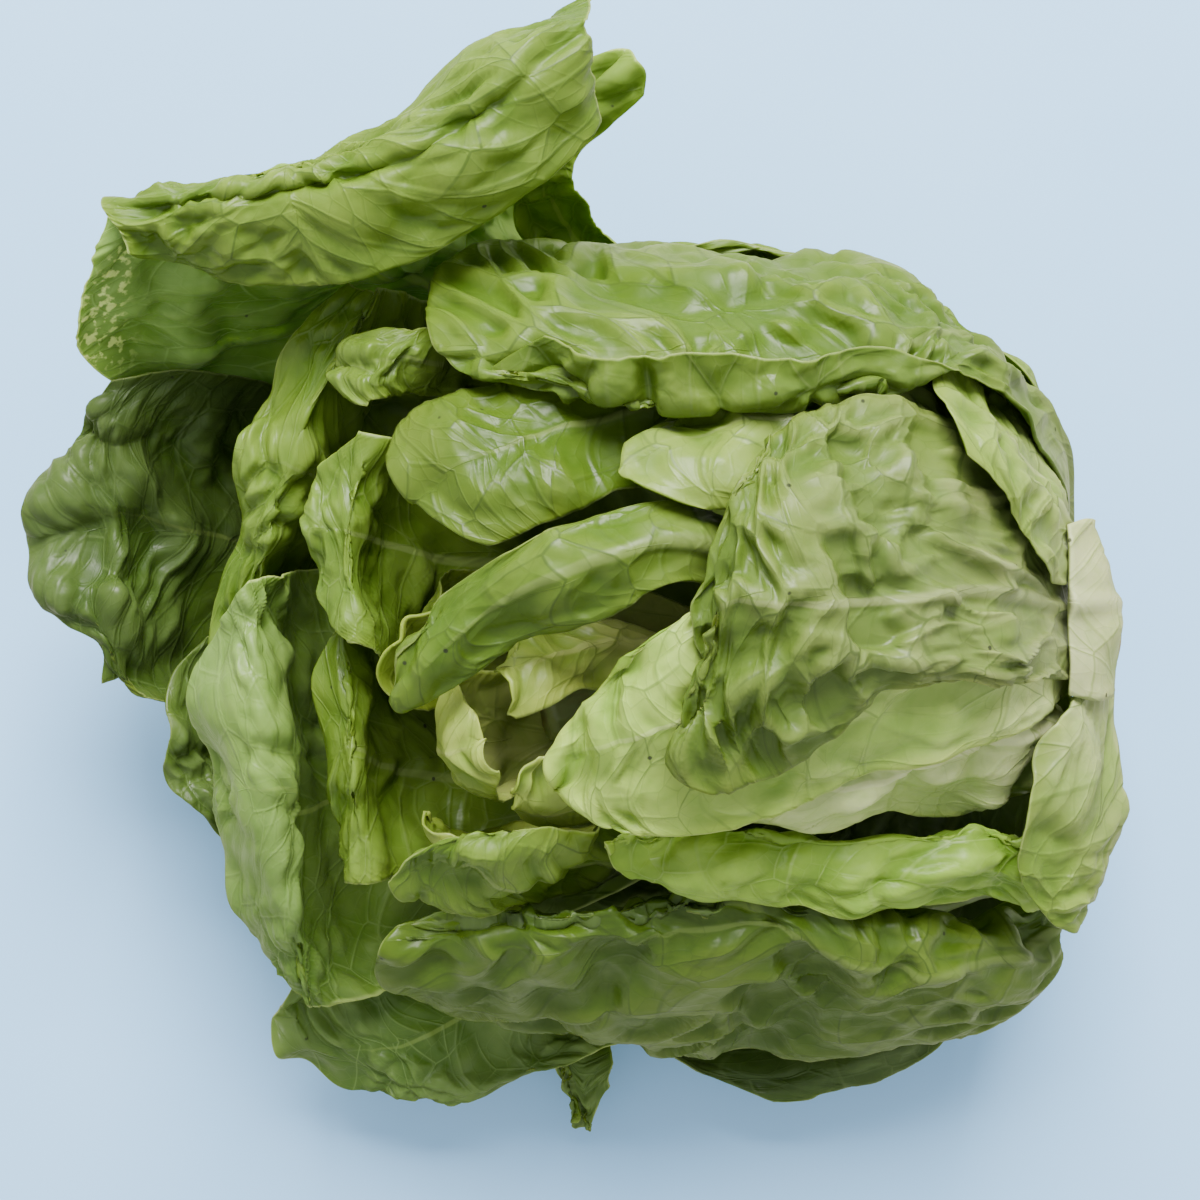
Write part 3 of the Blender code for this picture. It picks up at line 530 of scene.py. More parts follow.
coarse, stemLift = laidLeaves()
turns = np.arange(headSizes["stemSides"]) * 2 * math.pi / headSizes["stemSides"]
ownLow = (stemRings(headSizes["stemProfile"], turns).reshape(-1, 3) + (0, 0, stemLift)).min(0)
cadShift = np.array(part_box("stem")[0]) / mm - ownLow  # the model's own box stands round the origin
coarse = {name: sheet + cadShift for name, sheet in coarse.items()}
print("leaves laid, moved by", cadShift.round(2))


# how each leaf is refined from its coarse sheet, in mm
fineSizes = {
    "cell": 0.95,  # mm between points
    "blade": 0.75, "marginBlade": 0.3, "marginThin": 2.5,
    "rib": 1.5, "ribHalfWidth": (3.2, 0.5),  # at the stem and at the tip
    "branchEvery": 19.0, "branchLean": 0.85, "branchBend": 260.0,
    "veinWander": (10.0, 30.0), "acrossWander": (9.0, 26.0), "ribWander": (5.0, 40.0),  # how far, how often
    "ragged": 1.1, "raggedLength": 17.0, "raggedFade": (0.15, 0.5),  # how the margins wander
    "frill": 1.7, "frillLength": 15.0, "frillDepth": 10.0, "frillFade": (0.15, 0.4),
    "rayStart": 0.3, "roomMost": 9.0, "spare": 0.9, "roomShare": 0.5, "reachLeast": 0.05, "reachMost": 3.6,
    "reachFade": (0.08, 0.4), "crumpleRoom": (0.1, 4), "ribRoom": 1.2,
    "lift": 0.45,  # share of the free room that a leaf stands out by
    "bow": 2.6, "bowLength": 24.0, "lump": 2.0, "lumpLength": 11.0, "calmMargin": 9.0,
    "fleckWide": (0.06, 0.14),
}

# what single leaves have of their own. A place on a leaf is its run, 0 at the stem to 1 at the tip, and its
# across, -1 to 1. A dent is (run, across, wide along, wide across, mm out), a pull ends in the mm to move by,
# and tints are added to 1
leafLooks = {
    "front_wrapper": {"bow": 1.4, "lump": 2.3, "crumple": {"Fold": 3.2, "Puff": 2.6, "Puff Rim": 3.5},
                      "tint": -0.3, "lift": 0.65,
                      "dents": [(0.93, 0.72, 0.05, 0.16, -2.4), (0.8, 0.05, 0.1, 0.08, 1.6),
                                (0.62, 0.5, 0.07, 0.2, 1.8), (0.45, 0.62, 0.06, 0.14, 2.4),
                                (0.42, 0.3, 0.05, 0.12, -1.6), (0.55, -0.5, 0.1, 0.2, 1.2)]},
    "pale_side": {"bow": 1.5, "lump": 2.4, "crumple": {"Puff": 0.35, "Fold": 0.8},
                  "skin": "stalk", "tint": 0.5, "lift": 0.6},
    "under_front": {"bow": 1.2, "lump": 1.4, "tint": 0.7},
    "shoulder": {"bow": 1.2, "lump": 1.4, "tint": 0.02},
    "back_rib": {"bow": 0.8, "crumple": {"Fold": 2.0}, "tint": 0.05},
    "right_wrapper": {"bow": 1.2, "lump": 1.8, "crumple": {"Fold": 1.2}, "tint": -0.02,
                      "pulls": [(0.0, -0.3, 0.25, 1.2, (0, 5, 1))]},
    "torn_base": {"bow": 0.6, "lump": 0.6, "crumple": {"Fold": 0.4, "Puff": 0.2}, "skin": "stalk",
                  "pulls": [(0.6, -1.0, 0.8, 0.7, (-1, -4, 0))]},
    "top_wrapper": {"bow": 1.4, "lump": 2.0, "crumple": {"Puff": 2.4, "Fold": 1.0, "Puff Rim": 4.0},
                    "tint": -0.18, "lift": 0.6},
    "side_wrapper": {"bow": 0.9, "lump": 1.2, "tint": 1.05},
    "low_wrapper": {"bow": 1.9, "lump": 2.3, "crumple": {"Puff": 2.4, "Fold": 1.2, "Puff Rim": 4.0},
                    "lift": 0.7,
                    "dents": [(0.5, -0.2, 0.03, 0.3, -2.6), (0.66, 0.1, 0.04, 0.25, -2.2),
                              (0.8, -0.3, 0.03, 0.25, -2.4)]},
    "hood": {"bow": 0.7, "lump": 0.9, "crumple": {"Puff": 0.8, "Crease Depth": 0.4}, "tint": -0.12},
    "rim_back": {"bow": 1.2, "lump": 0.7, "crumple": {"Puff": 0.6, "Crease Depth": 0.3}, "tint": -0.27},
    "rim_front": {"bow": 1.2, "lump": 1.8},
    "rim_left": {"bow": 1.4, "lump": 0.8, "crumple": {"Puff": 1.2}, "tint": 0.1, "corner": 0.16},
    "rim_low": {"bow": 1.3, "lump": 0.8, "crumple": {"Puff": 1.0}, "tint": 0.1, "corner": 0.12},
    "long_left": {"bow": 1.6, "lump": 0.8, "crumple": {"Puff": 1.2}, "tint": 0.95, "corner": 0.12},
    "upper_left": {"bow": 1.5, "lump": 1.2, "tint": 0.2},
    "splayed_left": {"lump": 1.5, "frill": 1.3, "crumple": {"Puff": 0.9, "Crease Depth": 0.4}, "tint": -0.18,
                     "dents": [(0.76, -0.1, 0.04, 0.12, 5.0), (0.7, -0.05, 0.04, 0.3, -3.6),
                               (0.84, -0.2, 0.04, 0.3, -3.6), (0.77, -0.55, 0.05, 0.14, -3.4),
                               (0.77, 0.32, 0.05, 0.14, -3.4), (0.9, -0.2, 0.03, 0.5, 3.0)]},
    # the curled leaf's inner face is painted lighter, painted light that lifts the shade under its rolled
    # strip
    "curled_top": {"lump": 1.5, "tint": 0.3, "paintedInsideLight": 1.25, "flecks": ((0.66, -0.84), (0.58, -0.9)),
                   "dents": [(0.62, -0.7, 0.06, 0.15, -2.4), (0.7, -0.2, 0.07, 0.2, -2.6),
                             (0.58, 0.1, 0.05, 0.15, -2.2), (0.87, 0.1, 0.012, 0.9, -2.6),
                             (0.93, 0.1, 0.03, 0.9, 2.2)]},
    "back_tall": {"bow": 0.8, "tint": 0.5},
    "low_outer": {"bow": 1.2, "lump": 1.2, "tint": -0.1},
    "splayed_low": {"bow": 1.7, "lump": 1.8, "tint": 0.5},
    "under_front_low": {"bow": 0.6, "lump": 0.6, "tint": 0.5},
}


def smoothed(grid, count):  # a smooth curve down each column of the grid, count + 1 places
    t = np.linspace(0, len(grid) - 1, count + 1)
    i = np.clip(np.floor(t).astype(int), 0, len(grid) - 2)
    u = (t - i).reshape(-1, *[1] * (grid.ndim - 1))
    padded = np.concatenate((2 * grid[:1] - grid[1:2], grid, 2 * grid[-1:] - grid[-2:-1]))
    p0, p1, p2, p3 = (padded[i + k] for k in range(4))
    return 0.5 * (2 * p1 + (p2 - p0) * u + (2 * p0 - 5 * p1 + 4 * p2 - p3) * u ** 2
                  + (3 * p1 - p0 - 3 * p2 + p3) * u ** 3)


def fineGrid(grid, rows, columns):
    flipped = smoothed(grid, rows).swapaxes(0, 1)
    return smoothed(flipped, columns).swapaxes(0, 1)


def wander(values, seed, length):  # smooth noise at places along a line, in mm
    return np.array([noise.noise(Vector((v / length, seed * 3.7, seed))) for v in values]) * 2


def field(places, length, seed):  # smooth noise in space
    shift = Vector((seed * 1.7, seed, 0))
    flat = places.reshape(-1, 3) / length
    return np.array([noise.noise(Vector(p) + shift) for p in flat]).reshape(places.shape[:-1])


def smoothStep(low, high, values):
    share = np.clip((values - low) / (high - low), 0, 1)
    return share * share * (3 - 2 * share)


def roomFor(name, sheets, trees):  # how far each place is from the other leaves, outwards and inwards
    sheet = sheets[name]
    outward = sheetNormals(sheet - cadShift)
    most = fineSizes["roomMost"]
    room = []
    for way in (1, -1):
        found = np.full(sheet.shape[:2], most)
        for i in range(len(sheet)):
            for j in range(len(sheet[0])):
                ray = Vector(outward[i, j] * way)
                start = Vector(sheet[i, j]) + ray * fineSizes["rayStart"]
                hit = trees[name].ray_cast(start, ray, most)
                if hit[0] is not None:
                    found[i, j] = hit[3]
        wide = np.pad(found, 1, mode="edge")  # the least of each place and its neighbours
        room.append(np.minimum.reduce([wide[1:-1, 1:-1], wide[:-2, 1:-1], wide[2:, 1:-1],
                                       wide[1:-1, :-2], wide[1:-1, 2:]]))
    return room


def farAlong(points, axis):  # how far each place is along the grid's rows or columns, in mm
    step = np.linalg.norm(np.diff(points, axis=axis), axis=-1)
    before = [(0, 0), (0, 0)]
    before[axis] = (1, 0)
    return np.cumsum(np.pad(step, before), axis=axis)


def drawnIn(points, across, run, number, longest, corner):  # the margins wander a little
    rows, columns = points.shape[0] - 1, points.shape[1] - 1
    along, over = farAlong(points, 0)[:, columns // 2], farAlong(points, 1)
    half = np.maximum(over[:, -1] / 2, 1)
    left, right, tip = (wander(line, number + seed, fineSizes["raggedLength"]) + 0.35
                        + wander(line, number + seed + 5, fineSizes["raggedLength"] / 3) * 0.3
                        for line, seed in ((along, 0.3), (along, 0.6), (over[-1], 0.9)))
    ragged = fineSizes["ragged"]
    side = np.where(across < 0, (left / half)[:, None], (right / half)[:, None])
    side = side * smoothStep(*fineSizes["raggedFade"], run)
    newAcross = np.clip(across * (1 - ragged * np.maximum(side, 0)), -1, 1)
    newRun = np.clip(run * (1 - ragged * np.maximum(tip, 0)[None, :] / max(longest, 1) * run ** 3), 0, 1)
    newRun = newRun * (1 - corner * np.abs(across) ** 4)
    return newRun, newAcross


def nearSpot(run, across, runAt, acrossAt, wideAlong, wideAcross):  # 1 at the place, fading round it
    return np.exp(-((run - runAt) / wideAlong) ** 2 - ((across - acrossAt) / wideAcross) ** 2)


def fineLeaf(name, leaf, number):
    look = leafLooks.get(name, {})
    sheet = coarse[name]
    longest, widest = farAlong(sheet, 0)[-1].max(), farAlong(sheet, 1)[:, -1].max()
    rows = max(20, round(longest / fineSizes["cell"]))
    columns = max(16, round(widest / fineSizes["cell"]))
    points = fineGrid(sheet, rows, columns)
    rooms = [fineGrid(room[..., None], rows, columns)[..., 0] for room in roomFor(name, coarse, otherTrees)]
    run, across = leafShares(rows + 1, columns + 1)
    middle = round((leaf.get("rib", 0) + 1) / 2 * columns)
    upRib, over = farAlong(points, 0)[:, middle], farAlong(points, 1)
    over = over - over[:, middle][:, None]
    run, across = drawnIn(points, across, run, number, longest, look.get("corner", 0.0))
    row, column = run * rows, (across + 1) / 2 * columns
    points = sampled(points, row, column)
    over = sampled(over[..., None], row, column)[..., 0]
    roomOut, roomIn = (sampled(room[..., None], row, column)[..., 0] for room in rooms)
    for *spot, pull in look.get("pulls", ()):
        points = points + nearSpot(run, across, *spot)[..., None] * pull
    outward = sheetNormals(points - cadShift)
    # distance to the nearest margin
    fromSide = np.minimum(np.abs(over - over[:, :1]), np.abs(over[:, -1:] - over))
    fromMargin = np.minimum(fromSide + 40 * (1 - smoothStep(0.05, 0.3, run)), (1 - run) * longest)
    # where the veins run: places along the leaf and out from its rib, bent by slow noise
    leaned = fineSizes["branchLean"] * np.abs(over) * (1 - np.abs(over) / fineSizes["branchBend"])
    alongVein, acrossVein, fromRib = (
        straight + field(points, length, number + seed) * far for straight, (far, length), seed in (
            (run * upRib[-1] - leaned, fineSizes["veinWander"], 0),
            (over, fineSizes["acrossWander"], 50), (over, fineSizes["ribWander"], 9)))
    branch = alongVein / fineSizes["branchEvery"] + np.where(over > 0, 0.5, 0) + number * 0.37
    # free room on both sides, and how the leaf fills it
    outMost, inMost = (np.clip((room - fineSizes["spare"]) * fineSizes["roomShare"],
                               fineSizes["reachLeast"], fineSizes["reachMost"]) for room in (roomOut, roomIn))
    reach = smoothStep(*fineSizes["reachFade"], run)
    frill = np.clip(1 - fromMargin / fineSizes["frillDepth"], 0, 1) ** 1.5
    frill = frill * smoothStep(*fineSizes["frillFade"], run)
    lift = look.get("lift", fineSizes["lift"]) * outMost * reach
    frilled = field(points, fineSizes["frillLength"], number + 70) * 2.2
    bowed = field(points, fineSizes["bowLength"], number + 90) * 1.8
    height = lift + fineSizes["frill"] * look.get("frill", 1) * frill * frilled
    height = height + fineSizes["bow"] * look.get("bow", 1) * reach * bowed
    # round hollows with sharp tops between them
    dimples = 0.5 - np.abs(field(points, fineSizes["lumpLength"] * 1.6, number + 130)) * 3.2
    lumps = 0.65 * np.maximum(dimples, -0.7) + field(points, fineSizes["lumpLength"], number + 160) * 1.1
    calm = reach * (0.35 + 0.65 * np.clip(fromMargin / fineSizes["calmMargin"], 0, 1))
    height = height + fineSizes["lump"] * look.get("lump", 1) * calm * lumps
    for *spot, depth in look.get("dents", ()):
        height = height + depth * nearSpot(run, across, *spot)
    free = np.where(height > 0, outMost, inMost)
    height = np.sign(height) * free * np.tanh(np.abs(height) / free)
    points = points + outward * height[..., None]
    outward = sheetNormals(points - cadShift)
    # thick on the rib, thin at the margin
    ribWidth = np.interp(run, (0, 1), fineSizes["ribHalfWidth"])
    rib = (1 - smoothStep(0.1, 1, np.abs(fromRib) / ribWidth)) * (1 - run) ** 1.3
    thin = np.clip(1 - fromMargin / fineSizes["marginThin"], 0, 1)
    thick = fineSizes["blade"] / 2 - (fineSizes["blade"] - fineSizes["marginBlade"]) / 2 * thin
    ribHeight = fineSizes["rib"] * rib * np.clip(roomOut - fineSizes["ribRoom"], 0, 1)
    outer = points + outward * (thick + ribHeight)[..., None]
    inner = points - outward * thick[..., None]
    roomLeft = [np.clip(room, *fineSizes["crumpleRoom"]) for room in (outMost - height, inMost + height)]
    flecks = [nearSpot(run, across, *spot, *fineSizes["fleckWide"]) for spot in look.get("flecks", ())]
    facts = {
        "veinPlace": np.stack((alongVein + number * 60, acrossVein, over * 0), -1),
        "outward": outward,
        "freeRoom": np.stack((*roomLeft, fromMargin), -1),
        "leafMarks": np.stack((fromRib, branch, fromMargin), -1),
        "bowHeight": height - lift,
        "leafRun": run,
        "leafTint": 1 + look.get("tint", 0) + run * 0,
        "paintedInsideLight": 1 + look.get("paintedInsideLight", 0) + run * 0,
        "fleckShare": sum(flecks, run * 0),
    }
    return outer, inner, facts


def bladeMesh(name, outer, inner, facts):
    rows, columns = outer.shape[:2]
    count = rows * columns
    vertices = np.concatenate((outer.reshape(-1, 3), inner.reshape(-1, 3))) * mm
    grid = np.arange(count).reshape(rows, columns)
    top = np.stack((grid[:-1, :-1], grid[:-1, 1:], grid[1:, 1:], grid[1:, :-1]), -1).reshape(-1, 4)
    ring = np.concatenate((grid[0], grid[1:, -1], grid[-1, -2::-1], grid[-2:0:-1, 0]))
    after = np.roll(ring, -1)
    rim = np.stack((after, ring, ring + count, after + count), -1)
    faces = np.concatenate((top, top[:, ::-1] + count, rim))
    # the way the faces turn follows the side that is called outer
    cross = np.cross(outer[1:, :-1] - outer[:-1, :-1], outer[:-1, 1:] - outer[:-1, :-1])
    if (cross * facts["outward"][:-1, :-1]).sum() > 0:
        faces = faces[:, ::-1]
    mesh = bpy.data.meshes.new(name)
    mesh.vertices.add(len(vertices))
    mesh.vertices.foreach_set("co", vertices.astype(np.float32).ravel())
    mesh.loops.add(faces.size)
    mesh.loops.foreach_set("vertex_index", faces.astype(np.int32).ravel())
    mesh.polygons.add(len(faces))
    mesh.polygons.foreach_set("loop_start", np.arange(0, faces.size, 4, dtype=np.int32))
    mesh.update(calc_edges=True)
    mesh.validate()
    for key, values in facts.items():
        both = np.concatenate((values.reshape(count, -1), values.reshape(count, -1))).astype(np.float32)
        kind, slot = ("FLOAT_VECTOR", "vector") if both.shape[1] == 3 else ("FLOAT", "value")
        mesh.attributes.new(key, kind, "POINT").data.foreach_set(slot, both.ravel())
    side = np.concatenate((np.zeros(count), np.ones(count))).astype(np.float32)
    mesh.attributes.new("innerSide", "FLOAT", "POINT").data.foreach_set("value", side)
    mesh.shade_smooth()
    return mesh


def nodeTools(tree):  # short calls that add a node to this tree and give what it puts out
    add, link = tree.nodes.new, tree.links.new

    def put(value, socket):
        if isinstance(value, (int, float)):
            socket.default_value = value
        elif isinstance(value, tuple):
            socket.default_value = (*value, 1)
        else:
            link(value, socket)

    def calc(how, *values):
        node = add("ShaderNodeMath")
        node.operation = how
        for value, socket in zip(values, node.inputs):
            put(value, socket)
        return node.outputs[0]

    def ramp(value, low, high, first=0.0, last=1.0):
        node = add("ShaderNodeMapRange")
        node.interpolation_type = "SMOOTHSTEP"
        given = {"Value": value, "From Min": low, "From Max": high, "To Min": first, "To Max": last}
        for socket, setting in given.items():
            put(setting, node.inputs[socket])
        return node.outputs["Result"]

    def cells(place, wide):  # distance to the nearest vein of a net, in mm
        node = add("ShaderNodeTexVoronoi")
        node.voronoi_dimensions = "2D"
        node.feature = "DISTANCE_TO_EDGE"
        put(place, node.inputs["Vector"])
        put(calc("DIVIDE", 1.0, wide), node.inputs["Scale"])
        return calc("MULTIPLY", node.outputs["Distance"], wide)

    def parts(vector):
        node = add("ShaderNodeSeparateXYZ")
        link(vector, node.inputs[0])
        return node.outputs

    return add, link, put, calc, ramp, cells, parts


# crumples, in Geometry Nodes: soft puffs between the veins, folds that fan out from the stem
crumpleSizes = {
    "Cell": 13.0, "Puff": 1.5, "Puff Rim": 5.0, "Small Cell": 5.2, "Small Puff": 0.2,
    "Fold": 0.3, "Fold Length": 26.0, "Fold Width": 7.0, "Crease": 10.0, "Crease Depth": 0.8,
}


def crumpleTree():
    tree = bpy.data.node_groups.new("leafCrumple", "GeometryNodeTree")
    tree.interface.new_socket("Geometry", in_out="INPUT", socket_type="NodeSocketGeometry")
    for name, value in crumpleSizes.items():
        socket = tree.interface.new_socket(name, in_out="INPUT", socket_type="NodeSocketFloat")
        socket.default_value = value
    tree.interface.new_socket("Skin", in_out="INPUT", socket_type="NodeSocketMaterial")
    tree.interface.new_socket("Geometry", in_out="OUTPUT", socket_type="NodeSocketGeometry")
    add, link, put, calc, ramp, cells, parts = nodeTools(tree)
    start, end = add("NodeGroupInput"), add("NodeGroupOutput")
    size = start.outputs

    def named(name, kind):
        node = add("GeometryNodeInputNamedAttribute")
        node.data_type = kind
        node.inputs["Name"].default_value = name
        return node.outputs["Attribute"]

    def clouds(place, wide, detail=1.0):
        node = add("ShaderNodeTexNoise")
        node.noise_dimensions = "2D"
        put(place, node.inputs["Vector"])
        put(calc("DIVIDE", 1.0, wide), node.inputs["Scale"])
        node.inputs["Detail"].default_value = detail
        return node.outputs["Fac"]

    def joined(x, y):
        node = add("ShaderNodeCombineXYZ")
        put(x, node.inputs[0])
        put(y, node.inputs[1])
        return node.outputs[0]

    place = named("veinPlace", "FLOAT_VECTOR")
    alongVein, acrossVein, _ = parts(place)
    outRoom, inRoom, fromMargin = parts(named("freeRoom", "FLOAT_VECTOR"))
    run, side = named("leafRun", "FLOAT"), named("innerSide", "FLOAT")
    # soft puffs, some strong and some nearly flat; they fade at the margin
    strength = ramp(clouds(place, 30.0), 0.35, 0.65, 0.25, 1.3)
    puff = ramp(cells(place, size["Cell"]), 0.0, size["Puff Rim"], 0.35, -0.65)
    small = ramp(cells(place, size["Small Cell"]), 0.0, 1.8, 0.5, -0.5)
    puffs = calc("ADD", calc("MULTIPLY", puff, size["Puff"]), calc("MULTIPLY", small, size["Small Puff"]))
    puffs = calc("MULTIPLY", puffs, strength)
    puffs = calc("MULTIPLY", puffs, ramp(fromMargin, 0.5, 7.0, 0.25, 1.0))
    # folds along the leaf, sharp on their tops, strongest near the stem
    foldPlace = joined(calc("DIVIDE", alongVein, size["Fold Length"]),
                       calc("DIVIDE", acrossVein, size["Fold Width"]))
    fold = calc("ABSOLUTE", calc("MULTIPLY_ADD", clouds(foldPlace, 1.0, 1.5), 4.0, -2.0))
    fold = calc("SUBTRACT", 0.45, calc("POWER", calc("MINIMUM", fold, 1.0), 0.7))
    fold = calc("MULTIPLY", calc("MULTIPLY", fold, size["Fold"]), ramp(run, 0.3, 0.85, 1.0, 0.15))
    crease = calc("ABSOLUTE", calc("MULTIPLY_ADD", clouds(place, size["Crease"], 2.0), 4.0, -2.0))
    crease = calc("MULTIPLY", calc("SUBTRACT", 0.4, calc("MINIMUM", crease, 1.0)), size["Crease Depth"])
    height = calc("ADD", calc("ADD", puffs, fold), calc("MULTIPLY", crease, strength))
    height = calc("MULTIPLY", height, ramp(run, 0.05, 0.3))
    # each way stays within its room
    held = [calc("MULTIPLY", room, calc("TANH", calc("DIVIDE", calc(limit, height, 0.0), room)))
            for limit, room in (("MAXIMUM", outRoom), ("MINIMUM", inRoom))]
    height = calc("ADD", *held)
    push = add("ShaderNodeVectorMath")
    push.operation = "SCALE"
    link(named("outward", "FLOAT_VECTOR"), push.inputs[0])
    put(calc("MULTIPLY", height, mm), push.inputs["Scale"])
    # the height is kept as relief, which the skin turns into painted shade in the hollows and a painted
    # highlight on the tops
    keep = add("GeometryNodeStoreNamedAttribute")
    keep.data_type, keep.domain = "FLOAT", "POINT"
    keep.inputs["Name"].default_value = "relief"
    link(start.outputs["Geometry"], keep.inputs["Geometry"])
    put(calc("ADD", height, calc("MULTIPLY", named("bowHeight", "FLOAT"), 0.45)), keep.inputs["Value"])
    move = add("GeometryNodeSetPosition")
    link(keep.outputs["Geometry"], move.inputs["Geometry"])
    link(push.outputs[0], move.inputs["Offset"])
    # nothing sinks into the floor, and the upper side stays off it
    x, y, z = parts(add("GeometryNodeInputPosition").outputs[0])
    lowest = calc("MULTIPLY", side, fineSizes["marginBlade"] * mm)
    above = add("ShaderNodeCombineXYZ")
    for value, socket in zip((x, y, calc("MAXIMUM", z, lowest)), above.inputs):
        put(value, socket)
    rest = add("GeometryNodeSetPosition")
    link(move.outputs[0], rest.inputs["Geometry"])
    link(above.outputs[0], rest.inputs["Position"])
    real, skin = add("GeometryNodeRealizeInstances"), add("GeometryNodeSetMaterial")
    link(rest.outputs[0], real.inputs[0])
    link(real.outputs[0], skin.inputs["Geometry"])
    link(start.outputs["Skin"], skin.inputs["Material"])
    link(skin.outputs[0], end.inputs[0])
    return tree


def crumpled(name, mesh, skin, tree, changes):
    soft = bpy.data.objects.new(name + "_flat", mesh)
    bpy.context.scene.collection.objects.link(soft)
    modifier = soft.modifiers.new("crumple", "NODES")
    modifier.node_group = tree
    for item in tree.interface.items_tree:
        if item.in_out == "INPUT" and item.name in changes:
            modifier[item.identifier] = changes[item.name]
        if item.in_out == "INPUT" and item.name == "Skin":
            modifier[item.identifier] = skin
    bpy.context.view_layer.update()
    graph = bpy.context.evaluated_depsgraph_get()
    made = bpy.data.meshes.new_from_object(soft.evaluated_get(graph), preserve_all_data_layers=True,
                                           depsgraph=graph)
    bpy.data.objects.remove(soft)
    made.name = name
    piece = bpy.data.objects.new(name, made)
    bpy.context.scene.collection.objects.link(piece)
    made.shade_smooth()
    return piece


# near the stem, the outer side, the inner side, the small veins on each side, and how far along the leaf
# the colour near the stem reaches
skinColours = {
    "stalk": {"base": (0.37, 0.40, 0.20), "blade": (0.27, 0.335, 0.12), "inner": (0.18, 0.25, 0.05),
              "vein": (0.17, 0.23, 0.055), "innerVein": (0.25, 0.31, 0.09), "reach": 1.0},
    "heart": {"base": (0.32, 0.36, 0.11), "blade": (0.215, 0.285, 0.05), "inner": (0.17, 0.235, 0.03),
              "vein": (0.115, 0.165, 0.022), "innerVein": (0.22, 0.285, 0.06), "reach": 0.8},
    "pale": {"base": (0.27, 0.32, 0.120), "blade": (0.152, 0.225, 0.037), "inner": (0.112, 0.178, 0.022),
             "vein": (0.070, 0.115, 0.02), "innerVein": (0.16, 0.23, 0.05), "reach": 0.85},
    "green": {"base": (0.160, 0.220, 0.055), "blade": (0.102, 0.168, 0.018), "inner": (0.084, 0.142, 0.016),
              "vein": (0.050, 0.088, 0.012), "innerVein": (0.125, 0.185, 0.04), "reach": 0.55},
    "outer": {"base": (0.120, 0.172, 0.038), "blade": (0.077, 0.126, 0.014), "inner": (0.056, 0.096, 0.018),
              "vein": (0.036, 0.066, 0.009), "innerVein": (0.088, 0.138, 0.035), "reach": 0.5},
}
# some of these colours paint light: painted shade in the hollows, painted highlights on the raised tops and
# at the margin, and a painted glow just inside the margin
skinFinishAndPaintedLight = {
    "softLight": 0.25, "glowRadius": (0.8, 1.0, 0.25), "glowDepth": 0.002, "coat": 0.02,
    "coatRoughness": 0.3, "veinStrength": 0.7, "gloss": 0.2, "bump": 0.5, "bumpDepth": 0.0005,
    # the two margin colours paint light: a highlight line at the margin and a glow through the thin blade
    # just inside it
    "edge": (0.26, 0.32, 0.10), "marginGlow": (1.2, 1.12, 0.8), "hollowGreenAndShade": (0.70, 0.80, 0.58),
    "raisedHighlight": (1.28, 1.22, 1.45), "fleck": (0.34, 0.37, 0.13), "soil": (0.018, 0.02, 0.012),
    "soilEvery": 0.0075, "soilShare": 0.74, "roughness": (0.30, 0.52),
}
# the lines and ridges of the veins: from where to where they fade, in mm from the vein, and how strong
veinLines = {"branch": (0.12, 0.42, 0.7), "big": (0.08, 0.30, 1.0), "small": (0.03, 0.17, 0.4)}
veinRidges = {"big": (0.0, 0.8, 0.4), "small": (0.0, 0.5, 0.12), "branch": (0.0, 1.0, 0.6)}
# clouds of colour over every skin: size in m, detail, where each begins and ends, strength, multiplied by
skinClouds = (
    (0.030, 3.0, 0.38, 0.68, 0.6, (1.28, 1.2, 1.15)),
    (0.014, 4.0, 0.42, 0.68, 0.45, (0.74, 0.84, 0.62)),
    (0.0035, 5.0, 0.4, 0.7, 0.55, (0.82, 0.89, 0.76)),
)


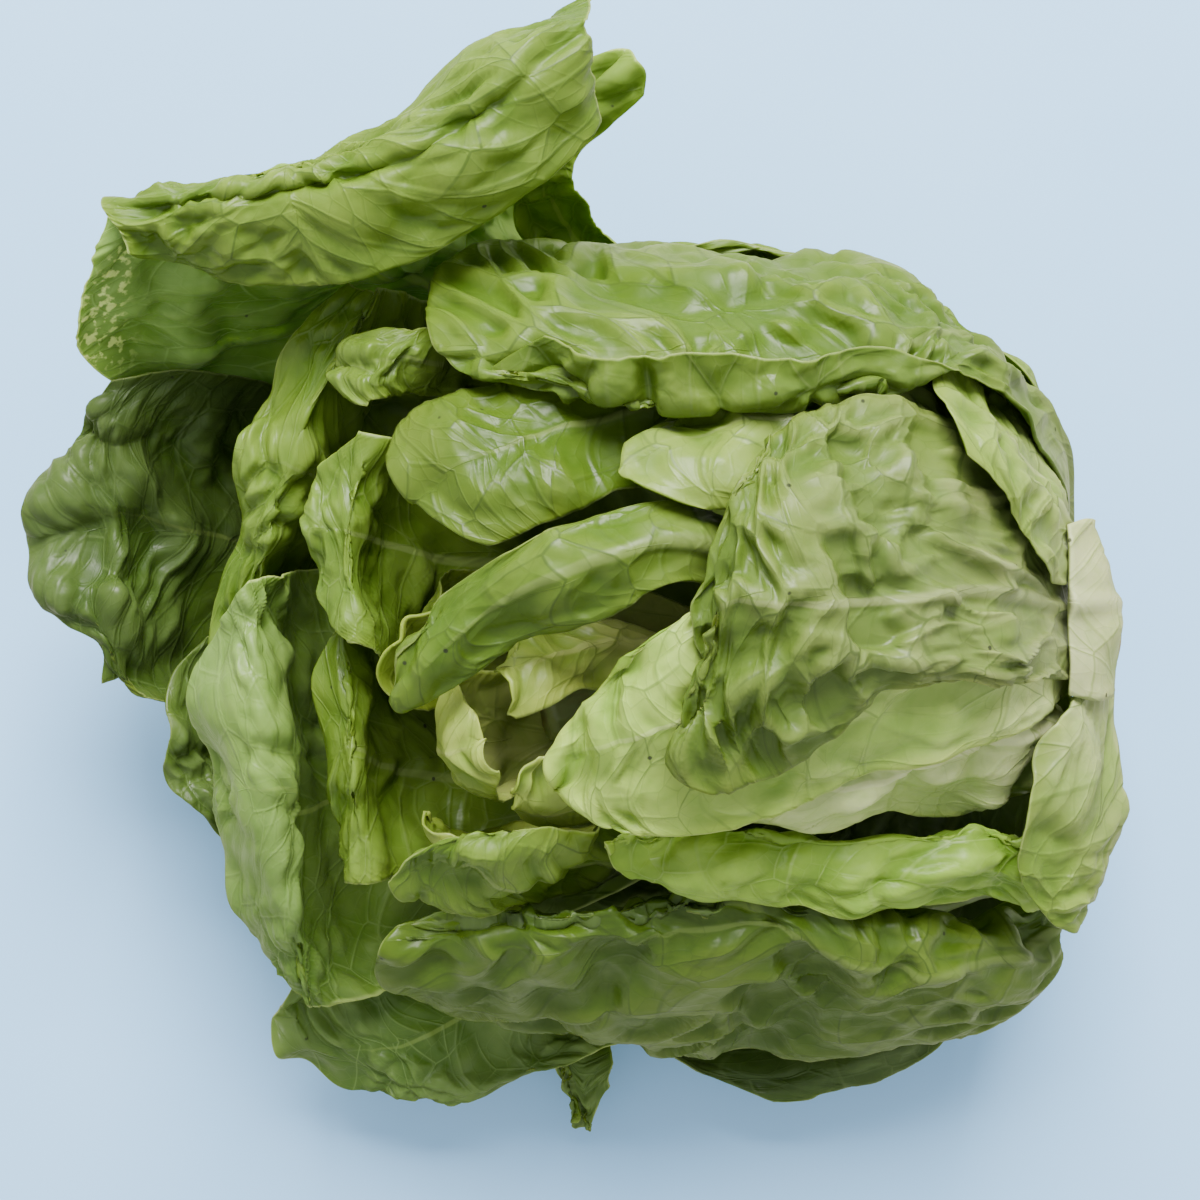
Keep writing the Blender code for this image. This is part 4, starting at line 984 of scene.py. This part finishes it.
def leafSkinGroup():  # the colours, with painted shade in the hollows and painted highlights on the tops and margins, and the relief that every leaf shares
    group = bpy.data.node_groups.new("leafSkin", "ShaderNodeTree")
    for way, kind, names in (
            ("INPUT", "Color", ("Base", "Blade", "Inner", "Vein", "Inner Vein")),
            ("INPUT", "Float", ("Cell", "Small Cell", "Branch Every", "Vein Strength", "Base Reach")),
            ("OUTPUT", "Color", ("Color",)), ("OUTPUT", "Float", ("Roughness", "Height"))):
        for name in names:
            group.interface.new_socket(name, in_out=way, socket_type="NodeSocket" + kind)
    add, link, put, calc, ramp, cells, parts = nodeTools(group)
    start, end = add("NodeGroupInput"), add("NodeGroupOutput")
    given = start.outputs

    def blend(share, a, b, how="MIX"):
        node = add("ShaderNodeMix")
        node.data_type = "RGBA"
        node.blend_type = how
        put(share, node.inputs["Factor"])
        put(a, node.inputs["A"])
        put(b, node.inputs["B"])
        return node.outputs["Result"]

    def attribute(name, part):
        node = add("ShaderNodeAttribute")
        node.attribute_name = name
        return node.outputs[part]

    object3d = add("ShaderNodeTexCoord").outputs["Object"]

    def cloud(size, detail=3.0):  # soft noise, size in metres
        node = add("ShaderNodeTexNoise")
        link(object3d, node.inputs["Vector"])
        node.inputs["Scale"].default_value = 1 / size
        node.inputs["Detail"].default_value = detail
        return node.outputs["Fac"]

    place = attribute("veinPlace", "Vector")
    fromRib, branchPhase, fromMargin = parts(attribute("leafMarks", "Vector"))
    run, inside = attribute("leafRun", "Fac"), attribute("innerSide", "Fac")
    relief = calc("MULTIPLY", attribute("relief", "Fac"), calc("MULTIPLY_ADD", inside, -2.0, 1.0))
    skin = blend(inside, given["Blade"], given["Inner"])
    vein = blend(inside, given["Vein"], given["Inner Vein"])
    # paler towards the stem, and in clouds
    baseEnd = calc("ADD", given["Base Reach"], 0.15)
    toBase = ramp(calc("MULTIPLY_ADD", cloud(0.02), 0.3, run), 0.1, baseEnd, 0.9, 0.0)
    skin = blend(toBase, skin, given["Base"])
    for size, detail, low, high, strength, colour in skinClouds:
        skin = blend(ramp(cloud(size, detail), low, high, 0.0, strength), skin, colour, "MULTIPLY")
    # greener in the hollows and darker there with painted shade, paler on what stands out with a painted
    # highlight
    skin = blend(ramp(relief, 0.25, -1.1), skin, skinFinishAndPaintedLight["hollowGreenAndShade"], "MULTIPLY")
    skin = blend(ramp(relief, 0.2, 1.3), skin, skinFinishAndPaintedLight["raisedHighlight"], "MULTIPLY")
    # the rib pale, its branches and the net between them fine lines, broken here and there
    toTip = calc("SUBTRACT", 1.0, calc("MINIMUM", run, 1.0))
    ribWide = calc("MULTIPLY_ADD", calc("POWER", toTip, 2.0), 2.2, 0.35)
    rib = ramp(calc("DIVIDE", calc("ABSOLUTE", fromRib), ribWide), 0.5, 1.1, 0.75, 0.0)
    skin = blend(calc("MULTIPLY", rib, ramp(run, 0.98, 0.6)), skin, given["Base"])
    toBranch = calc("ABSOLUTE", calc("SUBTRACT", calc("FRACT", branchPhase), 0.5))
    toBranch = calc("MULTIPLY", calc("MULTIPLY", toBranch, given["Branch Every"]), 0.75)
    big, small = cells(place, given["Cell"]), cells(place, given["Small Cell"])
    toVein = {"big": big, "small": small, "branch": toBranch}
    lines = {name: ramp(toVein[name], *veinLines[name], 0.0) for name in veinLines}
    branches = calc("MULTIPLY", lines["branch"], ramp(cloud(0.02), 0.35, 0.55, 0.4, 1.0))
    broken = ramp(cloud(0.011), 0.35, 0.58, 0.12, 1.0)
    net = calc("MULTIPLY", calc("MAXIMUM", lines["big"], lines["small"]), broken)
    skin = blend(calc("MULTIPLY", calc("MAXIMUM", branches, net), given["Vein Strength"]), skin, vein)
    # a painted highlight as a thin bright line at the margin, and just inside it a painted glow of light
    # through the thin blade, lighter and yellower
    skin = blend(ramp(fromMargin, 0.5, 5.0, 0.35, 0.0), skin, skinFinishAndPaintedLight["marginGlow"], "MULTIPLY")
    skin = blend(ramp(fromMargin, 0.05, 0.55, 0.45, 0.0), skin, skinFinishAndPaintedLight["edge"])
    # dry flecks where the leaf is marked with them
    fleckShare = calc("MULTIPLY", inside, ramp(attribute("fleckShare", "Fac"), 0.1, 0.7))
    flecks = calc("MULTIPLY", ramp(cloud(0.0019, 3.0), 0.5, 0.62), fleckShare)
    skin = blend(calc("MULTIPLY", flecks, 0.5), skin, skinFinishAndPaintedLight["fleck"])
    # a few specks of soil
    soil = add("ShaderNodeTexVoronoi")
    link(object3d, soil.inputs["Vector"])
    soil.inputs["Scale"].default_value = 1 / skinFinishAndPaintedLight["soilEvery"]
    some = calc("GREATER_THAN", parts(soil.outputs["Color"])[0], skinFinishAndPaintedLight["soilShare"])
    speck = calc("MULTIPLY", ramp(soil.outputs["Distance"], 0.045, 0.075, 1.0, 0.0), some)
    skin = blend(calc("MULTIPLY", speck, 0.85), skin, skinFinishAndPaintedLight["soil"])
    tinted = add("ShaderNodeVectorMath")
    tinted.operation = "SCALE"
    link(skin, tinted.inputs[0])
    # the inner side of a marked leaf made lighter: painted light lifting the shade that falls on it
    paintedInsideLight = calc("MULTIPLY_ADD", inside, calc("SUBTRACT", attribute("paintedInsideLight", "Fac"), 1.0), 1.0)
    put(calc("MULTIPLY", attribute("leafTint", "Fac"), paintedInsideLight), tinted.inputs["Scale"])
    link(tinted.outputs[0], end.inputs["Color"])
    # satin in patches, rough where there is soil
    satin = ramp(cloud(0.006), 0.3, 0.75, *skinFinishAndPaintedLight["roughness"])
    put(calc("MULTIPLY_ADD", speck, 0.4, satin), end.inputs["Roughness"])
    # fine relief for the bump: pores, slow waves and the veins' ridges
    fineRelief = calc("MULTIPLY", cloud(0.0022, 4.0), 0.3)
    fineRelief = calc("ADD", fineRelief, calc("MULTIPLY", cloud(0.006, 2.0), 0.5))
    for name, fading in veinRidges.items():
        fineRelief = calc("ADD", fineRelief, ramp(toVein[name], *fading, 0.0))
    put(fineRelief, end.inputs["Height"])
    return group


def leafSkin(tone, group):
    colours = skinColours[tone]
    material = bpy.data.materials.new(tone + "LeafSkin")
    material.use_nodes = True
    nodes, link = material.node_tree.nodes, material.node_tree.links.new
    shader = nodes["Principled BSDF"]
    skin = nodes.new("ShaderNodeGroup")
    skin.node_tree = group
    for name in ("base", "blade", "inner", "vein"):
        skin.inputs[name.title()].default_value = (*colours[name], 1)
    skin.inputs["Inner Vein"].default_value = (*colours["innerVein"], 1)
    for socket, value in (("Cell", crumpleSizes["Cell"]), ("Small Cell", crumpleSizes["Small Cell"]),
                          ("Branch Every", fineSizes["branchEvery"]), ("Base Reach", colours["reach"]),
                          ("Vein Strength", skinFinishAndPaintedLight["veinStrength"])):
        skin.inputs[socket].default_value = value
    link(skin.outputs["Color"], shader.inputs["Base Color"])
    link(skin.outputs["Roughness"], shader.inputs["Roughness"])
    bump = nodes.new("ShaderNodeBump")
    bump.inputs["Strength"].default_value = skinFinishAndPaintedLight["bump"]
    bump.inputs["Distance"].default_value = skinFinishAndPaintedLight["bumpDepth"]
    link(skin.outputs["Height"], bump.inputs["Height"])
    link(bump.outputs[0], shader.inputs["Normal"])
    for socket, name in (("Subsurface Weight", "softLight"), ("Subsurface Radius", "glowRadius"),
                         ("Subsurface Scale", "glowDepth"), ("Specular IOR Level", "gloss"),
                         ("Coat Weight", "coat"), ("Coat Roughness", "coatRoughness")):
        shader.inputs[socket].default_value = skinFinishAndPaintedLight[name]
    return material


otherTrees = {name: treeOf([sheet for other, sheet in coarse.items() if other != name]) for name in coarse}
crumple = crumpleTree()
group = leafSkinGroup()
skins = {tone: leafSkin(tone, group) for tone in skinColours}
total = 0
for number, (name, leaf) in enumerate(leafShapes.items()):
    outer, inner, facts = fineLeaf(name, leaf, number)
    mesh = bladeMesh(name + "_flat", outer, inner, facts)
    look = leafLooks.get(name, {})
    skin = skins[look.get("skin", leaf["tone"])]
    piece = crumpled(name + "_leaf", mesh, skin, crumple, look.get("crumple", {}))
    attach(piece, "root")
    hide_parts(name)
    total += len(piece.data.polygons) * 2
print("leaves made, %d triangles" % total)


# the cut stem
stemLook = {
    "sides": 96, "rows": 90, "rough": 0.07, "scarEvery": 6.5, "scarDepth": 0.5, "ribs": 9, "ribHeight": 0.35,
    "bevel": 0.93, "bevelHeight": 0.25, "cutHollow": 0.8,
    "pith": (0.42, 0.41, 0.27), "cut": (0.34, 0.31, 0.16), "browned": (0.17, 0.10, 0.04),
    "skin": (0.25, 0.30, 0.11),
    "grainScale": 260, "driedScale": 150, "bump": 0.4, "bumpDepth": 0.0005, "roughness": 0.38,
    "softLight": 0.2, "glowDepth": 0.003,
}


def stemPiece():
    shares, radii = zip(*headSizes["stemProfile"])
    rows, sides = stemLook["rows"], stemLook["sides"]
    profile = [(s, float(np.interp(s, shares, radii))) for s in np.linspace(0, shares[-1], rows)]
    turns = np.arange(sides) * 2 * math.pi / sides
    rings = stemRings(profile, turns) + (0, 0, stemLift) + cadShift
    centres = rings.mean(1, keepdims=True)
    rough = np.array([[noise.noise(Vector(p) / 5) for p in ring] for ring in rings])
    # shallow rings of leaf scars and ribs up the side
    reach = headSizes["heart"] - headSizes["stemCut"]
    along = np.array([s for s, _ in profile]) * np.linalg.norm(reach)
    scars = along[:, None] / stemLook["scarEvery"] * math.pi + 0.9 * np.sin(turns * 2 + 1) + rough * 2
    ribs = stemLook["ribHeight"] * np.sin(turns * stemLook["ribs"] + 2 * np.sin(along[:, None] / 9))
    push = ribs - stemLook["scarDepth"] * np.abs(np.sin(scars)) ** 4
    push = push * smoothStep(0.4, 2.5, along)[:, None]
    rings = centres + (rings - centres) * (1 + stemLook["rough"] * rough[..., None] + push[..., None] / 12)
    # the cut face, bevelled at its edge and a little hollow in the middle
    inset = centres[0] + (rings[0] - centres[0]) * stemLook["bevel"] - unit(reach) * stemLook["bevelHeight"]
    middle = centres[0] + unit(reach) * stemLook["cutHollow"]
    vertices = (np.concatenate((inset, rings.reshape(-1, 3), middle, centres[-1])) * mm).tolist()
    faces = []
    for r in range(rows):
        for k in range(sides):
            a, b = r * sides + k, r * sides + (k + 1) % sides
            faces.append((a, b, b + sides, a + sides))
    for k in range(sides):
        faces.append((len(vertices) - 2, (k + 1) % sides, k))
        faces.append((len(vertices) - 1, rows * sides + k, rows * sides + (k + 1) % sides))
    mesh = bpy.data.meshes.new("cut_stem")
    mesh.from_pydata(vertices, [], faces)
    # how far out on the cut face a point is: 0 in its middle, 1 at its edge, and beyond it 1 more for each mm
    # up the side
    cutShare = np.concatenate((np.full(sides, stemLook["bevel"]), np.repeat(1 + along, sides), (0.0, 9.0)))
    mesh.attributes.new("cutShare", "FLOAT", "POINT").data.foreach_set("value", cutShare.astype(np.float32))
    mesh.shade_smooth()
    piece = bpy.data.objects.new("cut_stem", mesh)
    bpy.context.scene.collection.objects.link(piece)
    return piece


def stemSkin():
    material = bpy.data.materials.new("cutStemSkin")
    material.use_nodes = True
    nodes, link = material.node_tree.nodes, material.node_tree.links.new
    shader = nodes["Principled BSDF"]
    where = nodes.new("ShaderNodeTexCoord")
    grain, patches = nodes.new("ShaderNodeTexNoise"), nodes.new("ShaderNodeTexNoise")
    for cloud, scale, detail in ((grain, stemLook["grainScale"], 5), (patches, stemLook["driedScale"], 6)):
        cloud.inputs["Scale"].default_value = scale
        cloud.inputs["Detail"].default_value = detail
        link(where.outputs["Object"], cloud.inputs["Vector"])
    share = nodes.new("ShaderNodeAttribute")
    share.attribute_name = "cutShare"
    # pith, flesh and a greener skin from the middle of the cut outwards
    ramp = nodes.new("ShaderNodeValToRGB")
    stops = ((0.0, "pith"), (0.2, "pith"), (0.3, "cut"), (0.44, "cut"),
             (0.5, "browned"), (0.56, "cut"), (0.8, "skin"))
    for number, (at, tone) in enumerate(stops):
        stop = ramp.color_ramp.elements[number] if number < 2 else ramp.color_ramp.elements.new(at)
        stop.position, stop.color = at, (*stemLook[tone], 1)
    spread = nodes.new("ShaderNodeMath")
    spread.operation = "MULTIPLY"
    spread.inputs[1].default_value = 0.5
    link(share.outputs["Fac"], spread.inputs[0])
    link(spread.outputs[0], ramp.inputs["Fac"])
    # browned patches where the cut has dried
    dried, blend = nodes.new("ShaderNodeMapRange"), nodes.new("ShaderNodeMix")
    for socket, value in (("From Min", 0.5), ("From Max", 0.72), ("To Max", 0.7)):
        dried.inputs[socket].default_value = value
    link(patches.outputs["Fac"], dried.inputs["Value"])
    blend.data_type = "RGBA"
    blend.inputs["B"].default_value = (*stemLook["browned"], 1)
    link(dried.outputs["Result"], blend.inputs["Factor"])
    link(ramp.outputs["Color"], blend.inputs["A"])
    link(blend.outputs["Result"], shader.inputs["Base Color"])
    bump = nodes.new("ShaderNodeBump")
    bump.inputs["Strength"].default_value = stemLook["bump"]
    bump.inputs["Distance"].default_value = stemLook["bumpDepth"]
    link(grain.outputs["Fac"], bump.inputs["Height"])
    link(bump.outputs[0], shader.inputs["Normal"])
    shader.inputs["Roughness"].default_value = stemLook["roughness"]
    shader.inputs["Subsurface Weight"].default_value = stemLook["softLight"]
    shader.inputs["Subsurface Scale"].default_value = stemLook["glowDepth"]
    return material


stem = stemPiece()
stem.data.materials.append(stemSkin())
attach(stem, "root")
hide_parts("stem")
print("stem made")


# table, light and camera
floorLook = {"half": 2.0, "colour": (0.36, 0.66, 1.0), "mottle": (0.30, 0.60, 0.95), "mottleScale": 14,
             "bounce": (0.46, 0.48, 0.38), "roughness": 0.9}
lightLook = {"sky": (0.97, 0.99, 1.0), "skyStrength": 1.0, "window": 64.0, "windowSize": 0.75,
             "windowAt": (0.05, 0.95, 1.05), "windowAim": (0, 0, 0.06), "windowColour": (1.0, 0.99, 0.97)}
cameraLook = {"height": 0.475, "lens": 60, "sensor": 36}


def makeFloor():
    half = floorLook["half"]
    mesh = bpy.data.meshes.new("floor")
    corners = [(-half, -half, 0), (half, -half, 0), (half, half, 0), (-half, half, 0)]
    mesh.from_pydata(corners, [], [(0, 1, 2, 3)])
    floor = bpy.data.objects.new("floor", mesh)
    bpy.context.scene.collection.objects.link(floor)
    material = bpy.data.materials.new("paleBlueTable")
    material.use_nodes = True
    nodes, link = material.node_tree.nodes, material.node_tree.links.new
    shader = nodes["Principled BSDF"]
    where, cloud = nodes.new("ShaderNodeTexCoord"), nodes.new("ShaderNodeTexNoise")
    blend = nodes.new("ShaderNodeMix")
    cloud.inputs["Scale"].default_value = floorLook["mottleScale"]
    cloud.inputs["Detail"].default_value = 5
    blend.data_type = "RGBA"
    blend.inputs["A"].default_value = (*floorLook["colour"], 1)
    blend.inputs["B"].default_value = (*floorLook["mottle"], 1)
    link(where.outputs["Object"], cloud.inputs["Vector"])
    link(cloud.outputs["Fac"], blend.inputs["Factor"])
    # the camera sees the blue table, but what it throws back onto the leaves is plainer
    rays, seen = nodes.new("ShaderNodeLightPath"), nodes.new("ShaderNodeMix")
    seen.data_type = "RGBA"
    seen.inputs["A"].default_value = (*floorLook["bounce"], 1)
    link(rays.outputs["Is Camera Ray"], seen.inputs["Factor"])
    link(blend.outputs["Result"], seen.inputs["B"])
    link(seen.outputs["Result"], shader.inputs["Base Color"])
    shader.inputs["Roughness"].default_value = floorLook["roughness"]
    mesh.materials.append(material)


def windowLight():
    light = bpy.data.lights.new("windowLight", "AREA")
    light.energy, light.size = lightLook["window"], lightLook["windowSize"]
    light.color = lightLook["windowColour"]
    lamp = bpy.data.objects.new("windowLight", light)
    lamp.location = lightLook["windowAt"]
    toAim = Vector(lightLook["windowAim"]) - Vector(lightLook["windowAt"])
    lamp.rotation_euler = toAim.to_track_quat("-Z", "Y").to_euler()
    bpy.context.scene.collection.objects.link(lamp)


makeFloor()
windowLight()
world = bpy.data.worlds.new("softSky")
world.use_nodes = True
sky = world.node_tree.nodes["Background"]
sky.inputs["Color"].default_value = (*lightLook["sky"], 1)
sky.inputs["Strength"].default_value = lightLook["skyStrength"]
bpy.context.scene.world = world

camera = bpy.data.objects.new("camera", bpy.data.cameras.new("camera"))
camera.data.lens, camera.data.sensor_width = cameraLook["lens"], cameraLook["sensor"]
camera.location = (cadShift[0] * mm, cadShift[1] * mm, cameraLook["height"] + cadShift[2] * mm)
bpy.context.scene.collection.objects.link(camera)
bpy.context.scene.camera = camera
print("floor, light and camera set")
